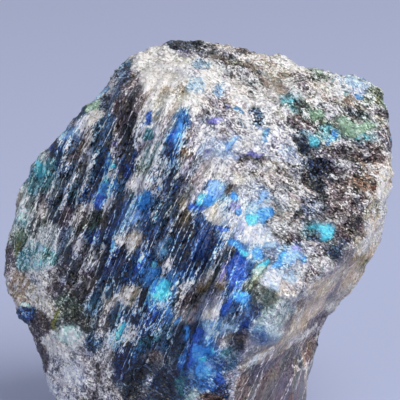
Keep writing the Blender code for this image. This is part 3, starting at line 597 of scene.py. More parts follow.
# %% Where each colour flashes on the front
FLASHES = {
    "deep": (
        (-5, 11, 2.5, 0.5, 66, 0.5), (-2, -21, 3.5, 0.5, 78, 0.7), (-17.5, 12.5, 2.5, 0.5, 68, 0.5),
        (0.5, -1, 3.5, 1.5, 70, 0.7), (-14, 4, 2.5, 0.5, 68, 0.8),
    ),
    "teal": (
        (-9, 18, 1, 0.5, 80, 0.8), (-7.5, 4, 2.5, 0.5, 66, 0.5), (-30.5, 8.5, 1.5, 1, 70, 0.6),
        (-23, 7.5, 1.5, 0.5, 78, 0.5), (-26.5, 14, 1.5, 1, 60, 0.4), (-9, -18.5, 2.5, 1, 20, 0.5),
        (-3.5, -26.5, 2, 1, 80, 0.6), (-19.5, -12.5, 1.5, 1, 60, 0.4),
        (4.5, -20.5, 1.5, 1, 20, 0.5), (-15, -15, 1.5, 0.5, 60, 0.4),
    ),
    "green": (
        (30.5, 20, 1.5, 0.5, 0, 1), (26.5, 20.5, 1.5, 1, 0, 0.75), (21, 22, 1, 1, 0, 0.95),
        (-19.5, 23.5, 1.5, 1, 50, 0.9), (-33, 0, 1.5, 1, 75, 0.5), (21.5, 30, 1.5, 0.5, -15, 0.5),
        (28, 19, 2, 1, 0, 0.7),
    ),
    "olive": (
        (33, 25, 1.5, 1, 75, 0.45), (-26.5, -15.5, 2, 0.5, 72, 0.8), (30, -5.5, 1.5, 0.5, 60, 0.5),
        (-33.5, -2.5, 1.5, 0.5, 75, 0.4),
    ),
    "royal": (
        (-9, 21, 1, 0.5, 62, 0.8), (-24.5, 16, 1.5, 0.5, 70, 0.7), (-11, -5, 2, 0.5, 68, 0.8),
        (-5, 17.5, 2, 0.5, 80, 0.7), (-9, -7.5, 1, 0.5, 60, 0.7), (4.5, -12, 1.5, 0.5, 74, 0.9),
        (-1.5, -21, 2, 0.5, 72, 0.9), (-0.5, -17.5, 1.5, 1, 60, 0.7), (7.5, -16, 1.5, 0.5, 58, 0.8),
        (3.5, -25.5, 1, 1, 0, 0.7), (-8, -13, 2.5, 0.5, 70, 0.8), (-7, 8.5, 0.5, 0.5, 60, 0.6),
        (-4, 9, 0.5, 0.5, 0, 0.5), (-27, 16, 1, 0.5, 50, 0.5), (-19, -0.5, 1.5, 1, 50, 0.5),
        (-31.5, -15, 0.5, 0.5, 0, 0.6), (-12.5, 12, 1.5, 0.5, 60, 0.5),
        (-0.5, 5, 1.5, 0.5, -10, 0.8), (6.5, -6, 3, 1.5, 85, 0.9), (4, 1.5, 1, 0.5, 0, 0.8),
        (-17.5, 6.5, 1.5, 1, 60, 0.9), (11.5, -17.5, 1, 1, 0, 0.3),
    ),
    "violet": (
        (2.5, 20.5, 1.5, 0.5, 5, 0.6), (5, 23, 0.5, 0.5, 40, 0.55), (9.5, 14.5, 1.5, 0.5, -12, 0.7),
        (1, 15, 0.5, 0.5, 0, 0.5), (-15.5, 16.5, 0.5, 0.5, 0, 0.6), (0.5, 30, 0.5, 0.5, 0, 0.3),
        (6, 5.5, 1, 1, 0, 0.5), (17, -2, 1, 0.5, 0, 0.7), (4, -6, 1.5, 0.5, 80, 0.7),
    ),
    "azure": (
        (1, -24, 1.5, 1, 60, 0.9), (12, 18.5, 1, 0.5, 60, 0.65), (-4, 18.5, 2.5, 0.5, 80, 0.8),
        (-10.5, -6, 0.5, 0.5, 60, 0.7), (0, -22.5, 2, 0.5, 60, 0.9), (1, -20, 1.5, 0.5, -40, 0.9),
        (-7.5, -10, 2.5, 1.5, 68, 1), (7, 22.5, 1, 0.5, -20, 0.6), (11.5, 17, 0.5, 0.5, 30, 0.65),
        (29, 25.5, 1, 0.5, -10, 0.5), (-4, -15, 1, 0.5, 60, 0.6), (-15.5, -1.5, 1, 0.5, 75, 0.6),
        (4.5, -29, 0.5, 0.5, 0, 0.5), (-0.5, -20.5, 1.5, 1, 70, 0.9), (-9, -7, 2, 1, 66, 0.7),
        (-2.5, -17.5, 1.5, 0.5, 70, 0.7), (1.5, 6.5, 1.5, 1, 40, 0.9), (6, 7, 0.5, 0.5, 0, 0.9),
        (11.5, 4, 1.5, 1, 45, 0.95), (6.5, 4.5, 0.5, 0.5, 0, 0.7), (6.5, -1.5, 1.5, 1, -20, 0.9),
        (10, -3, 1, 1, 0, 0.8), (18, -4, 0.5, 0.5, 0, 0.8), (14, -4, 1.5, 0.5, 50, 1),
        (7, -10.5, 1.5, 1, -10, 0.9), (-16.5, 13.5, 1.5, 0.5, 75, 0.9), (-17, 8.5, 1.5, 1, 75, 1),
        (-10, 6.5, 2, 1, 66, 0.75), (24, 18, 1.5, 0.5, 50, 0.6),
    ),
    "periwinkle": (
        (5.5, 16.5, 1.5, 0.5, 50, 0.9), (-24, 18.5, 1.5, 0.5, 30, 0.8), (-18, 26, 1.5, 0.5, 50, 1),
        (20, 31.5, 1.5, 0.5, -15, 0.8), (1.5, -22.5, 1.5, 0.5, -30, 0.7),
        (2.5, 8.5, 1.5, 1.5, 30, 0.9), (11, 7, 1.5, 0.5, 50, 0.7), (16, -3.5, 1.5, 1, 10, 0.85),
        (-11.5, 3.5, 1.5, 1, 66, 0.6),
    ),
    "ice": (
        (0, 30.5, 1, 0.5, 0, 0.5), (0, 27, 1, 1, 0, 0.6), (3, 26.5, 0.5, 0.5, 0, 0.5),
        (-9, 10.5, 1, 0.5, 0, 0.7), (2, -16.5, 1, 0.5, 0, 0.8), (4.5, -16, 1, 0.5, 0, 0.7),
        (28, 28, 1.5, 1, -15, 0.7), (-22.5, 19, 1, 0.5, 40, 0.5), (2.5, 17, 1, 0.5, 50, 0.5),
        (-29, -2.5, 0.5, 0.5, 0, 0.7), (-7, 21.5, 1, 0.5, 80, 0.4), (15.5, 15.5, 1.5, 1.5, 0, 0.4),
        (-6.5, -12, 1, 0.5, 66, 0.8), (12.5, -1.5, 1, 0.5, 0, 0.7), (16, -7, 1.5, 1, 0, 0.6),
        (-16.5, 10.5, 0.5, 0.5, 0, 0.6),
    ),
    "turquoise": (
        (22.5, 19, 1, 1, 0, 0.5), (20.5, 17, 1, 1, -55, 1.1), (-2, 22.5, 0.5, 0.5, 0, 0.45),
        (16, 24.5, 1.5, 0.5, 0, 0.6), (-29, 12, 1.5, 1, 70, 0.9), (21.5, 1.5, 2, 0.5, -5, 1),
        (26.5, 26, 1, 0.5, 0, 0.4), (29.5, 18, 1.5, 0.5, 0, 0.45), (-10.5, 17, 0.5, 0.5, 0, 0.3),
        (24, 28, 0.5, 0.5, 0, 0.4), (-29.5, -4.5, 1, 1, 40, 0.5),
    ),
    "cyan": (
        (22.5, 1, 1.5, 1, -15, 1.2), (-6.5, -9.5, 2, 1, 66, 1.1), (-25, 19, 0.5, 0.5, 60, 0.8),
        (-29.5, 13, 0.5, 0.5, 60, 0.8), (2, -20, 0.5, 0.5, -40, 0.7), (-14, -17, 1.5, 0.5, 62, 1),
        (-8.5, -5, 0.5, 0.5, 0, 0.6), (0.5, -21.5, 1, 0.5, -30, 0.8), (0, 6.5, 1, 0.5, 74, 1.1),
        (9, 3, 1, 1, 60, 1), (7.5, -2.5, 1, 0.5, -45, 0.9), (11, -5, 1.5, 0.5, 50, 1),
        (14.5, -3.5, 0.5, 0.5, 50, 0.8), (7.5, -10.5, 0.5, 0.5, 0, 0.8),
        (-16.5, 9.5, 1, 0.5, 75, 0.8), (-15.5, 12.5, 0.5, 0.5, 75, 1),
    ),
    "mint": (
        (-32.5, 3.5, 1, 0.5, 60, 0.9), (-32, -13, 0.5, 0.5, 0, 0.7), (-2, -29, 1, 1, 0, 0.5),
        (-24, -18, 1.5, 1.5, 10, 1.1), (10.5, -6, 1, 0.5, 55, 0.8), (-29.5, -4, 1, 1, 40, 0.5),
    ),
}

FLASH_HARD = 1.6
FLASH_SEEN = 0.3
flash, flash_colour = paint(FLASHES, FLASH_COLOURS, FLASH_HARD)
print("flashing share of the front:", round(float((flash > FLASH_SEEN).sum() / front.sum()), 2))

# %% [markdown]
# Some places are milky: whole stone under a thin bloom, where the speckle of crushed grains is
# weak. They are large soft patches that turn the speckle down.

# %% Where the speckle is weak
MILKY = (
    (0, -17.5, 13, 6.5, 70, 1.0), (13, -9, 9, 5, 60, 1.0), (10.5, 3, 7.5, 6, 80, 0.8),
    (1.5, 1, 9.5, 4.5, 80, 0.7), (25, -8.5, 12.5, 4.5, 45, 1.0), (14.5, -28, 6, 8, 0, 1.3),
    (-4.5, 18.5, 3, 1.5, 80, 0.7), (28, 19.5, 5, 2.5, 0, 0.7), (12, -18, 7, 4, 35, 1.0),
    (11, -29, 4, 6, 0, 1.3), (-3.5, 29, 5, 5, 0, 0.4),
    (34, 10, 5, 1.5, 85, 1.0), (32, 1, 4, 2, 65, 1.0), (22, 1.5, 3, 2, -10, 1.1),
    (16, 24.5, 3, 2, 0, 0.8), (20.5, 17, 2, 1.5, -55, 0.8), (28.5, 28, 3.5, 2, -15, 0.6),
    (-13.5, 4.5, 5.5, 2.5, 66, 1.3), (-6.5, -9.5, 3, 2, 66, 0.6),
)
MILKY_HARD = 1.0
MILKY_CALM = 0.6
grainy = 1 - MILKY_CALM * lay(MILKY, MILKY_HARD)
print("speckle on the whole skin:", round(float(grainy.mean()), 2), "of its full strength")

# %% [markdown]
# The parts that no one has placed patches on, the sides, top and back, are the same stone. They
# get scattered patches of the same kinds from a seeded draw, so that the stone is the same each
# time. A patch is a worn ball laid round in the stone itself, longer along the grain.

# %% A helper that scatters patches over the rest
SCATTER_SEED = 72
AWAY_FROM_FRONT = 0.6
WOBBLE_SIZE = 2.6
FAINTEST = 0.5
STRONGEST = 1.0

rng = np.random.default_rng(SCATTER_SEED)
hidden = 1 - front
away = np.flatnonzero(hidden > AWAY_FROM_FRONT)
wobble = np.stack([layers(places / WOBBLE_SIZE, 3, seed) for seed in (21, 22, 23)], axis=1) * RAGGED
shaken = in_grain + wobble


def scattered(count, odds, least, most):
    """A seeded draw of patches: kind, strength and how far each point is from the middle."""
    centres = in_grain[rng.choice(away, count)]
    chances = np.array(list(odds.values())) / np.sum(list(odds.values()))
    for centre, kind in zip(centres, rng.choice(list(odds), count, p=chances)):
        half = rng.uniform(least, most)
        yield kind, rng.uniform(FAINTEST, STRONGEST), np.linalg.norm((shaken - centre) / half, axis=1)


print("points away from the front:", len(away))

# %% [markdown]
# The odds of a tone say how common it is on this stone: slate, umber and greys are, ochre and
# cream are rare. The half-sizes are across the sheets, along the grain and aside of it.

# %% Scatter tones over the rest
HIDDEN_TONES = 150
TONE_LEAST, TONE_MOST = (2.0, 4.5, 3.0), (4.5, 11.0, 8.0)
HIDDEN_TRACE = 0.005
HIDDEN_FALL = 1.1
TONE_ODDS = {
    "cream": 1, "chalk": 3, "bone": 5, "milk": 1, "lilac": 4, "ash": 8, "taupe": 8, "umber": 9,
    "brown": 3, "coal": 6, "forest": 5, "navy": 6, "steel": 5, "slate": 10, "denim": 7,
    "azure": 3, "sky": 2, "sea": 3, "sage": 4, "mist": 1, "sand": 4, "dune": 1, "tan": 2,
    "ochre": 2, "rust": 1, "mauve": 3, "clay": 2,
}

hidden_tint = HIDDEN_TRACE * np.tile(screen(TONES["slate"]), (len(places), 1))
weights = np.full(len(places), HIDDEN_TRACE)
for kind, strength, gap in scattered(HIDDEN_TONES, TONE_ODDS, TONE_LEAST, TONE_MOST):
    share = (strength * np.exp(-HIDDEN_FALL * gap ** 2)) ** CRISP
    hidden_tint += share[:, None] * screen(TONES[kind])
    weights += share
hidden_tint /= weights[:, None]
tint = tint * front[:, None] + hidden_tint * hidden[:, None]
print("mean tone of the whole skin:", tint.mean(axis=0).round(2))

# %% [markdown]
# Flashes on the rest are streaks along the grain too, with harder edges than the tones.

# %% Scatter flashes over the rest
HIDDEN_FLASHES = 110
FLASH_LEAST, FLASH_MOST = (0.6, 1.6, 1.0), (1.8, 6.0, 3.0)
STREAK_EDGE = 1.35
STREAK_HARD = 0.7
FLASH_ODDS = {
    "deep": 9, "teal": 10, "green": 8, "olive": 4, "royal": 12, "violet": 5, "azure": 12,
    "periwinkle": 7, "ice": 5, "turquoise": 8, "cyan": 5, "mint": 2,
}

for kind, strength, gap in scattered(HIDDEN_FLASHES, FLASH_ODDS, FLASH_LEAST, FLASH_MOST):
    cover = strength * smooth((STREAK_EDGE - gap) * STREAK_HARD + EDGE_START) * hidden
    flash, flash_colour = lay_over(flash, flash_colour, cover, FLASH_COLOURS[kind])
print("flashing share of the whole skin:", round(float((flash > FLASH_SEEN).mean()), 2))

# %% [markdown]
# Relief comes next. On the left face the sheets break off in ribs, long along the grain and
# sharp across it, and elsewhere the skin is crushed. The side strip under the right cheek and
# the cleavage below it are nearly smooth. Three shares say what a place is: ribbed, calm, and
# crumbled, where the ribs of the lower left end in crumbs. The right face has a grain of its
# own, which runs down along the strip.

# %% Where the skin is ribbed, calm or crumbled
RIGHT_ACROSS = np.array([0.48, 0.55, 0.64])
RIGHT_ALONG = np.array([0.80, 0.0, -0.60])
STRIATED = np.array([-0.55, -0.82, 0.12])
RIB_GAIN = 2.2
RIB_EDGE = 0.6
HIDDEN_RIBS = 0.45
SMOOTH_FACE = ((15, -27, 6.5, 7.0, 0, 1.0), (14.5, -30, 6.5, 8, 0, 1.0))
SIDE_STRIP = ((22, -12, 12, 3.0, 48, 0.9), (12, -19.5, 4.5, 2.4, 20, 0.8))
CRUMBLED = ((-25, -17, 14, 7.5, -75, 0.8), (-21, -30, 8, 7, 0, 0.8), (-7, -28, 8, 5, 0, 0.8))
FACE_HARD, STRIP_HARD, CRUMBLED_HARD = 3.0, 1.4, 1.0
FACE_CALM, STRIP_CALM = 0.9, 0.55
STRIP_RIBS = 0.7

right_frame = np.stack([RIGHT_ACROSS, RIGHT_ALONG, np.cross(RIGHT_ACROSS, RIGHT_ALONG)], axis=1)
right_frame /= np.linalg.norm(right_frame, axis=0)
out_way = places / np.linalg.norm(places, axis=1)[:, None]
facing = out_way @ (STRIATED / np.linalg.norm(STRIATED))
ribbed = np.maximum(smooth(RIB_GAIN * facing - RIB_EDGE), HIDDEN_RIBS * hidden)
smooth_face = lay(SMOOTH_FACE, FACE_HARD)
side_strip = lay(SIDE_STRIP, STRIP_HARD)
crumbled = lay(CRUMBLED, CRUMBLED_HARD)
calm = 1 - np.maximum(FACE_CALM * smooth_face, STRIP_CALM * side_strip)
ribbed = np.maximum(ribbed, np.maximum(smooth_face, STRIP_RIBS * side_strip)) * (1 - crumbled)
print("ribbed share of the skin:", round(float(ribbed.mean()), 2))

# %% [markdown]
# Crushed stone is a heap of small angular grains. They could be modelled one by one, but about
# ten thousand are needed. Instead seeds are strewn through the stone, and every point looks up
# its nearest seed, which gives it a height and a tilt: the borders between seeds become sharp
# steps. Chunks of 3 mm carry crumbs of 1 mm, with a chalky roughness on top.

# %% A helper that makes angular grains
def grains(spots, size, seed):
    """Angular grains: a height and a sloping top for each point's nearest grain."""
    draw = np.random.default_rng(seed)
    low = spots.min(axis=0) - size
    high = spots.max(axis=0) + size
    count = int(np.prod((high - low) / size))
    seeds = draw.uniform(low, high, (count, 3))
    heights = draw.uniform(-0.5, 0.5, count)
    slopes = draw.normal(0, 1, (count, 3))
    lookup = KDTree(count)
    for index, seed_place in enumerate(seeds):
        lookup.insert(seed_place, index)
    lookup.balance()
    near = np.array([lookup.find(spot)[1] for spot in spots])
    return heights[near], np.sum((spots - seeds[near]) * slopes[near], axis=1) / size


CHUNK, CHUNK_HEIGHT, CHUNK_TILT = 2.9, 0.38, 0.18
CRUMB, CRUMB_HEIGHT, CRUMB_TILT = 1.2, 0.3, 0.1
CHALK_GRAIN, CHALK_HEIGHT = 0.8, 0.14

chunk_top, chunk_slope = grains(places, CHUNK, 50)
crumb_top, crumb_slope = grains(places, CRUMB, 51)
crushed = CHUNK_HEIGHT * chunk_top + CHUNK_TILT * chunk_slope
crushed = crushed + CRUMB_HEIGHT * crumb_top + CRUMB_TILT * crumb_slope
crushed += CHALK_HEIGHT * noise(places / CHALK_GRAIN, 43)
print("crushed relief in millimetres:", round(crushed.min(), 2), "to", round(crushed.max(), 2))

# %% [markdown]
# The striated face is made of three sizes of ribs with sharp crests, of steps where a sheet ends,
# and of splinters, which are grains drawn out along the ribs. Sizes are across the sheets, along
# the grain and aside of it. Heights are in millimetres.

# %% Ribs, sheets and splinters
CREST_SHARPNESS = 3.2
RIB_KINDS = (
    ((2.6, 22.0, 14.0), 0.45, 40),
    ((1.3, 11.0, 7.0), 0.32, 41),
    ((0.7, 5.5, 3.0), 0.14, 42),
)
SHEET, SHEET_HEIGHT, SHEET_WANDER = 2.4, 0.5, 0.8
SHEET_DRIFT = np.array([5.0, 16.0, 10.0])
SPLINTER = np.array([1.0, 4.0, 1.8])
SPLINTER_HEIGHT, SPLINTER_TILT = 0.34, 0.08


def crest_lines(spots, seed):
    """Sharp crests with rounded furrows between them, from -1 to 1."""
    return np.clip(1 - np.abs(noise(spots, seed)) * CREST_SHARPNESS, -1, 1)


striated = sum(high * crest_lines(in_grain / np.array(size), seed) for size, high, seed in RIB_KINDS)
drift = SHEET_WANDER * noise(in_grain / SHEET_DRIFT, 45)
striated += SHEET_HEIGHT * ((in_grain[:, 0] / SHEET + drift) % 1.0 - 0.5)
splinter_top, splinter_slope = grains(in_grain / SPLINTER, 1.0, 52)
striated += SPLINTER_HEIGHT * splinter_top + SPLINTER_TILT * splinter_slope
print("striated relief in millimetres:", round(striated.min(), 2), "to", round(striated.max(), 2))

# %% [markdown]
# Crevices are the gaps where chips have fallen out. They go deeper than the relief and stay dark,
# so the larger ones are placed one by one, as the tones are.

# %% Put the relief together and cut the crevices
SWELL, SWELL_HEIGHT = 4.2, 0.3
CREVICES = (
    (18.5, 15.5, 2.6, 0.6, -50, 0.8), (23, 12.5, 2.6, 0.7, -25, 0.6), (20.5, 9, 2.2, 0.7, -40, 0.6),
    (-13.2, 17.5, 3.4, 0.8, 72, 1.0), (-13.6, 21.5, 2.6, 0.8, 76, 0.7), (3, 32.5, 6, 0.7, -14, 0.8),
    (12.5, 28, 3.4, 0.7, -40, 0.7), (-4.5, 2, 7, 0.8, 68, 0.9), (-8, -6, 5, 0.7, 66, 0.7),
    (-1, -10, 2.6, 0.8, 60, 0.8), (7.5, 14, 5, 0.6, -8, 0.6), (-21, -3, 6, 0.6, 66, 0.6),
    (-25, 9, 5, 0.5, 64, 0.6), (6.5, -18.5, 2.6, 0.9, 70, 0.8), (28, 14.5, 3, 0.7, -12, 0.7),
    (29, 3, 2.6, 0.8, 60, 0.6), (-11, -24, 5, 0.9, 74, 0.7), (-17.5, 12, 5, 0.5, 66, 0.6),
)
CREVICE_DEPTH, CREVICE_HARD = 1.3, 2.4
SKIN_LEVEL = 55

lift = ribbed * striated + (1 - ribbed) * crushed
lift = (lift + SWELL_HEIGHT * layers(places / SWELL, 2, 44)) * calm
# The crevices also lower the stored crest height, which the finish paints darker: painted shade on top of
# their real depth.
lift -= CREVICE_DEPTH * (lay(CREVICES, CREVICE_HARD) * calm)
lift -= np.percentile(lift, SKIN_LEVEL)
print("relief in millimetres:", round(lift.min(), 2), "to", round(lift.max(), 2))

# %% [markdown]
# A Displace modifier would need the relief as a texture, so the points are moved here, each along
# its normal. The foot stays flat, because the stone stands on it, and nothing leaves the box of
# the solid.

# %% Move the skin's points
FOOT_BAND = 0.8
FOOT_FLAT = 0.08
height = places[:, 2] + HEART[2]
free = smooth(height / FOOT_BAND)
moved = places + HEART + normals * (lift * free)[:, None]
moved[height < FOOT_FLAT, 2] = 0
moved = np.clip(moved, np.array(cad_box[0]) / MM, np.array(cad_box[1]) / MM)
stone.data.vertices.foreach_set("co", (moved * MM).astype(np.float32).ravel())
stone.data.update()
bpy.ops.object.shade_smooth()
print("points on the foot:", int((height < FOOT_FLAT).sum()))

# %% [markdown]
# The finish has to know all this at every point. Image textures would need a flat map of the
# lump, with seams, so the paintings are stored as attributes of the skin's points.

# %% Store the paintings on the skin
CREST_RANGE = 1.6


def store(name, values):
    """Keep one number, or one colour, for each of the skin's points."""
    values = np.asarray(values, np.float32)
    if values.ndim == 1:
        layer = stone.data.attributes.new(name, "FLOAT", "POINT")
        layer.data.foreach_set("value", values)
    else:
        layer = stone.data.attributes.new(name, "FLOAT_COLOR", "POINT")
        opaque = np.ones((len(values), 1), np.float32)
        layer.data.foreach_set("color", np.hstack([values, opaque]).ravel())


store("tint", tint)
store("flash", flash)
store("flash_colour", flash_colour)
store("ribbed", ribbed)
# The finish reads this height to paint crests lighter and furrows darker: painted light and shade of the
# relief.
store("crest", np.clip(0.5 + lift / CREST_RANGE, 0, 1))
store("calm", calm)
store("grainy", grainy)
print("paintings on the skin:", "tint, flash, flash_colour, ribbed, crest, calm, grainy")

# %% [markdown]
# Labradorite is a feldspar: glassy where it cleaves, chalky where it is crushed, with a
# refractive index of about 1.56. Its colours change too often for a handful of plain materials,
# so one material is built of nodes. One small function adds a node and hands back one of its
# outputs, ready to be an input of the next.

# %% The labradorite material and a helper that adds a node
FELDSPAR_IOR = 1.56
labradorite = bpy.data.materials.new("labradorite")
labradorite.use_nodes = True
tree = labradorite.node_tree
shader = tree.nodes["Principled BSDF"]
shader.inputs["IOR"].default_value = FELDSPAR_IOR


def add(kind, inputs=None, output=0, **settings):
    """Add a node: set its settings, give each input a value or a link, return one output."""
    made = tree.nodes.new("ShaderNode" + kind)
    for name, value in settings.items():
        setattr(made, name, value)
    for name, value in (inputs or {}).items():
        if isinstance(value, bpy.types.NodeSocket):
            tree.links.new(value, made.inputs[name])
        else:
            made.inputs[name].default_value = value
    return made.outputs[output]


painted = {}
for name in ("ribbed", "crest", "calm", "grainy", "flash"):
    painted[name] = add("Attribute", output="Fac", attribute_name=name)
for name in ("tint", "flash_colour"):
    painted[name] = add("Attribute", output="Color", attribute_name=name)
print("paintings read:", len(painted))

# %% [markdown]
# Grains on the stone have real sizes, so the patterns read places in millimetres. Grains break
# with crooked edges, so the places are first shaken by a fine noise. They are then turned into
# the grain of each face, where a pattern can be drawn out in one direction.

# %% Places in millimetres, turned into the grain of the right and of the left face
SHAKE_SIZE = 0.7
SHAKE = (0.5, 0.5, 0.5)
right_turn = Matrix(right_frame.T.tolist()).to_euler("XYZ")
left_turn = Matrix(grain_frame.T.tolist()).to_euler("XYZ")

here = add("TexCoord", output="Object")
spot = add("VectorMath", {0: here, "Scale": 1 / MM}, operation="SCALE")
shaker = add("TexNoise", {"Vector": spot, "Scale": 1 / SHAKE_SIZE, "Detail": 2.0}, "Color")
spot = add("VectorMath", {0: shaker, 1: SHAKE, 2: spot}, operation="MULTIPLY_ADD")
right_spot = add("Mapping", {"Vector": spot, "Rotation": right_turn})
left_spot = add("Mapping", {"Vector": spot, "Rotation": left_turn})


def drawn_out(right, left):
    """Places on the right and on the left face, drawn out along the grain of each."""
    faces = ((right_spot, right), (left_spot, left))
    return [add("Mapping", {"Vector": way, "Scale": drawn}) for way, drawn in faces]


print("nodes so far:", len(tree.nodes))

# %% [markdown]
# Two kinds of pattern do all the work. Dice are Voronoi cells: each cell is one grain, with
# random numbers of its own and a flat top that leans its own way. Clouds are soft noise. Both
# are made once for each face and blended by how ribbed a place is. A value below 1 draws the
# pattern out in that direction: across the sheets, along the grain, aside of it. Sizes are in
# millimetres, as on broken feldspar: dust, chips of half a millimetre and slabs of one and a
# half. Real dust goes on below a tenth of a millimetre, which wouldn't show, so it is drawn at
# 0.27.

# %% Patterns of grains and of clouds
MIDDLE = (0.5, 0.5, 0.5)


def dice(size, right, left):
    """Random numbers that stay the same across each grain, and the slope of its flat top."""
    numbers = []
    tops = []
    for scaled in drawn_out(right, left):
        random = add("TexVoronoi", {"Vector": scaled, "Scale": 1 / size}, "Color")
        grain_middle = random.node.outputs["Position"]
        from_middle = add("VectorMath", {0: scaled, 1: grain_middle}, operation="SUBTRACT")
        slope = add("VectorMath", {0: random, 1: MIDDLE}, operation="SUBTRACT")
        numbers.append(random)
        tops.append(add("VectorMath", {0: from_middle, 1: slope}, "Value", operation="DOT_PRODUCT"))
    blended = add("Mix", {0: painted["ribbed"], 6: numbers[0], 7: numbers[1]}, 2, data_type="RGBA")
    three = add("SeparateColor", {"Color": blended}).node.outputs
    return three, add("Mix", {0: painted["ribbed"], 2: tops[0], 3: tops[1]})


def clouds(size, detail, roughness, right, left):
    """Soft noise of a size."""
    look = {"Scale": 1 / size, "Detail": detail, "Roughness": roughness}
    faces = [add("TexNoise", {"Vector": scaled, **look}) for scaled in drawn_out(right, left)]
    return add("Mix", {0: painted["ribbed"], 2: faces[0], 3: faces[1]})


dust, dust_facet = dice(size=0.27, right=(1.2, 0.7, 1.0), left=(1.4, 0.45, 1.0))
chips, chip_facet = dice(size=0.62, right=(1.2, 0.55, 0.9), left=(1.1, 0.4, 0.7))
slabs, slab_facet = dice(size=1.5, right=(1.2, 0.6, 0.9), left=(1.1, 0.25, 0.5))
grit = clouds(size=0.36, detail=2.0, roughness=0.9, right=(1.3, 0.6, 1.0), left=(1.5, 0.45, 0.9))
soft = clouds(size=2.4, detail=5.0, roughness=0.75, right=(1.2, 0.6, 0.9), left=(1.1, 0.35, 0.6))
crust = clouds(size=1.4, detail=4.0, roughness=0.75, right=(1.3, 0.45, 0.8), left=(1.0, 0.22, 0.5))
ridge = clouds(size=1.9, detail=1.0, roughness=0.5, right=(1.0, 0.3, 0.6), left=(1.0, 0.06, 0.2))
print("nodes with all patterns:", len(tree.nodes))

# %% [markdown]
# Much of the finish differs between the crushed right and the striated left. Each such amount
# is a pair here, for the right and for the left, which is blended once and is then ready for
# the steps below.

# %% Amounts that differ between the faces
EASED = {"interpolation_type": "SMOOTHSTEP"}
BY_FACE = {
    "crust from": (0.45, 0.572),
    "crust speckle": (0.26, 0.3),
    "crust roughness": (1.1, 1.3),
    "crust greyness": (0.45, 0.22),
    "glassy roughness": (0.75, 0.4),
    "glassy glint": (0.28, 0.12),
    "dust speckle": (0.7, 1.2),
    "slab speckle": (0.1, 0.2),
}
amount = {}
for name, (right, left) in BY_FACE.items():
    amount[name] = add("Mix", {0: painted["ribbed"], 2: right, 3: left})


def about(value, strength, under=0.0):
    """A noise value, centred on 0 and made as strong as asked, on top of another value."""
    centred = add("Math", {0: value, 1: 0.5}, operation="SUBTRACT")
    return add("Math", {0: centred, 1: strength, 2: under}, operation="MULTIPLY_ADD")


print("amounts by face:", len(amount))

# %% [markdown]
# Crusted places are rough, pale and grey. The glassy windows between them keep their colour. A
# crust lies where its clouds are high, sooner on crests, which paints them paler as a painted
# highlight too, and on pale stone, and hardly ever on the calm faces. The fine broken edges of
# the sheets on the left are crusted too: thin pale lines where a long drawn cloud passes its
# middle value, which also stand for the light those edges catch, a painted highlight.

# %% Crusts and hairlines
LINE_FROM, LINE_FULL = 0.478, 0.494
CREST_CRUST_AND_LIGHT, TONE_CRUST, LINE_CRUST, CALM_CRUST = 0.35, 0.22, 0.8, 0.1
CRUST_EDGE = 0.05

# The hairlines are pale crust on broken sheet edges and a painted highlight along them.
rise = add("MapRange", {"Value": ridge, "From Min": LINE_FROM, "From Max": LINE_FULL}, **EASED)
fall = add("MapRange", {"Value": ridge, "From Min": 1 - LINE_FROM, "From Max": 1 - LINE_FULL}, **EASED)
edge_crust_and_highlight = add("Math", {0: rise, 1: fall}, operation="MULTIPLY")
edge_crust_and_highlight = add("Math", {0: edge_crust_and_highlight, 1: painted["ribbed"]}, operation="MULTIPLY")

tint_grey = add("RGBToBW", {"Color": painted["tint"]})
tint_dark = add("Math", {0: 0.5, 1: tint_grey}, operation="SUBTRACT")
crust_from = add("Math", {0: tint_dark, 1: TONE_CRUST, 2: amount["crust from"]}, operation="MULTIPLY_ADD")
# Crust lies sooner on crests, which also paints them paler: a painted highlight.
crust_height = about(painted["crest"], CREST_CRUST_AND_LIGHT, crust)
crust_height = add("Math", {0: crust_height, 1: crust_from}, operation="SUBTRACT")
crusted = add("MapRange", {"Value": crust_height, "From Min": 0.0, "From Max": CRUST_EDGE}, **EASED)
crust_share = add("Mix", {0: painted["calm"], 2: CALM_CRUST, 3: 1.0})
crusted = add("Math", {0: crusted, 1: crust_share}, operation="MULTIPLY")
line_crust = add("Math", {0: edge_crust_and_highlight, 1: LINE_CRUST}, operation="MULTIPLY")
crusted = add("Math", {0: crusted, 1: line_crust}, operation="MAXIMUM")
print("nodes with crusts:", len(tree.nodes))

# %% [markdown]
# The speckle says how much lighter or darker than its tone a point is, around 0. Each pattern
# adds its part: dust, grit and chips make the grains, slabs and soft clouds make larger marks,
# and crests are painted lighter and furrows darker, as painted light and shade of the relief.

# %% The speckle of grains
GRIT_SPECKLE = 1.2
CHIP_SPECKLE = 0.2
SOFT_SPECKLE = 0.28
CREST_LIGHT_AND_FURROW_SHADE = 0.25

rough = about(chips["Red"], CHIP_SPECKLE, about(grit, GRIT_SPECKLE))
rough = about(dust["Green"], amount["dust speckle"], rough)
roughness = add("Mix", {0: crusted, 2: amount["glassy roughness"], 3: amount["crust roughness"]})
speckle = add("Math", {0: rough, 1: roughness}, operation="MULTIPLY")
speckle = about(slabs["Red"], amount["slab speckle"], speckle)
speckle = about(soft, SOFT_SPECKLE, speckle)
speckle = about(crusted, amount["crust speckle"], speckle)
# Crests painted lighter, furrows and crevices darker: painted light and shade.
speckle = about(painted["crest"], CREST_LIGHT_AND_FURROW_SHADE, speckle)
print("nodes with speckle:", len(tree.nodes))

# %% [markdown]
# A few grains stand out: about one in six is a white fleck, strongest on crust, which is a painted
# glint where a grain's facet would catch the light, and as many are dark pits, painted shade of
# small holes. The hairlines are scratched in where the grit is high, pale and with a painted
# highlight along the sheet edges. On pale stone the speckle is held back, because chalk has no
# deep black in it.

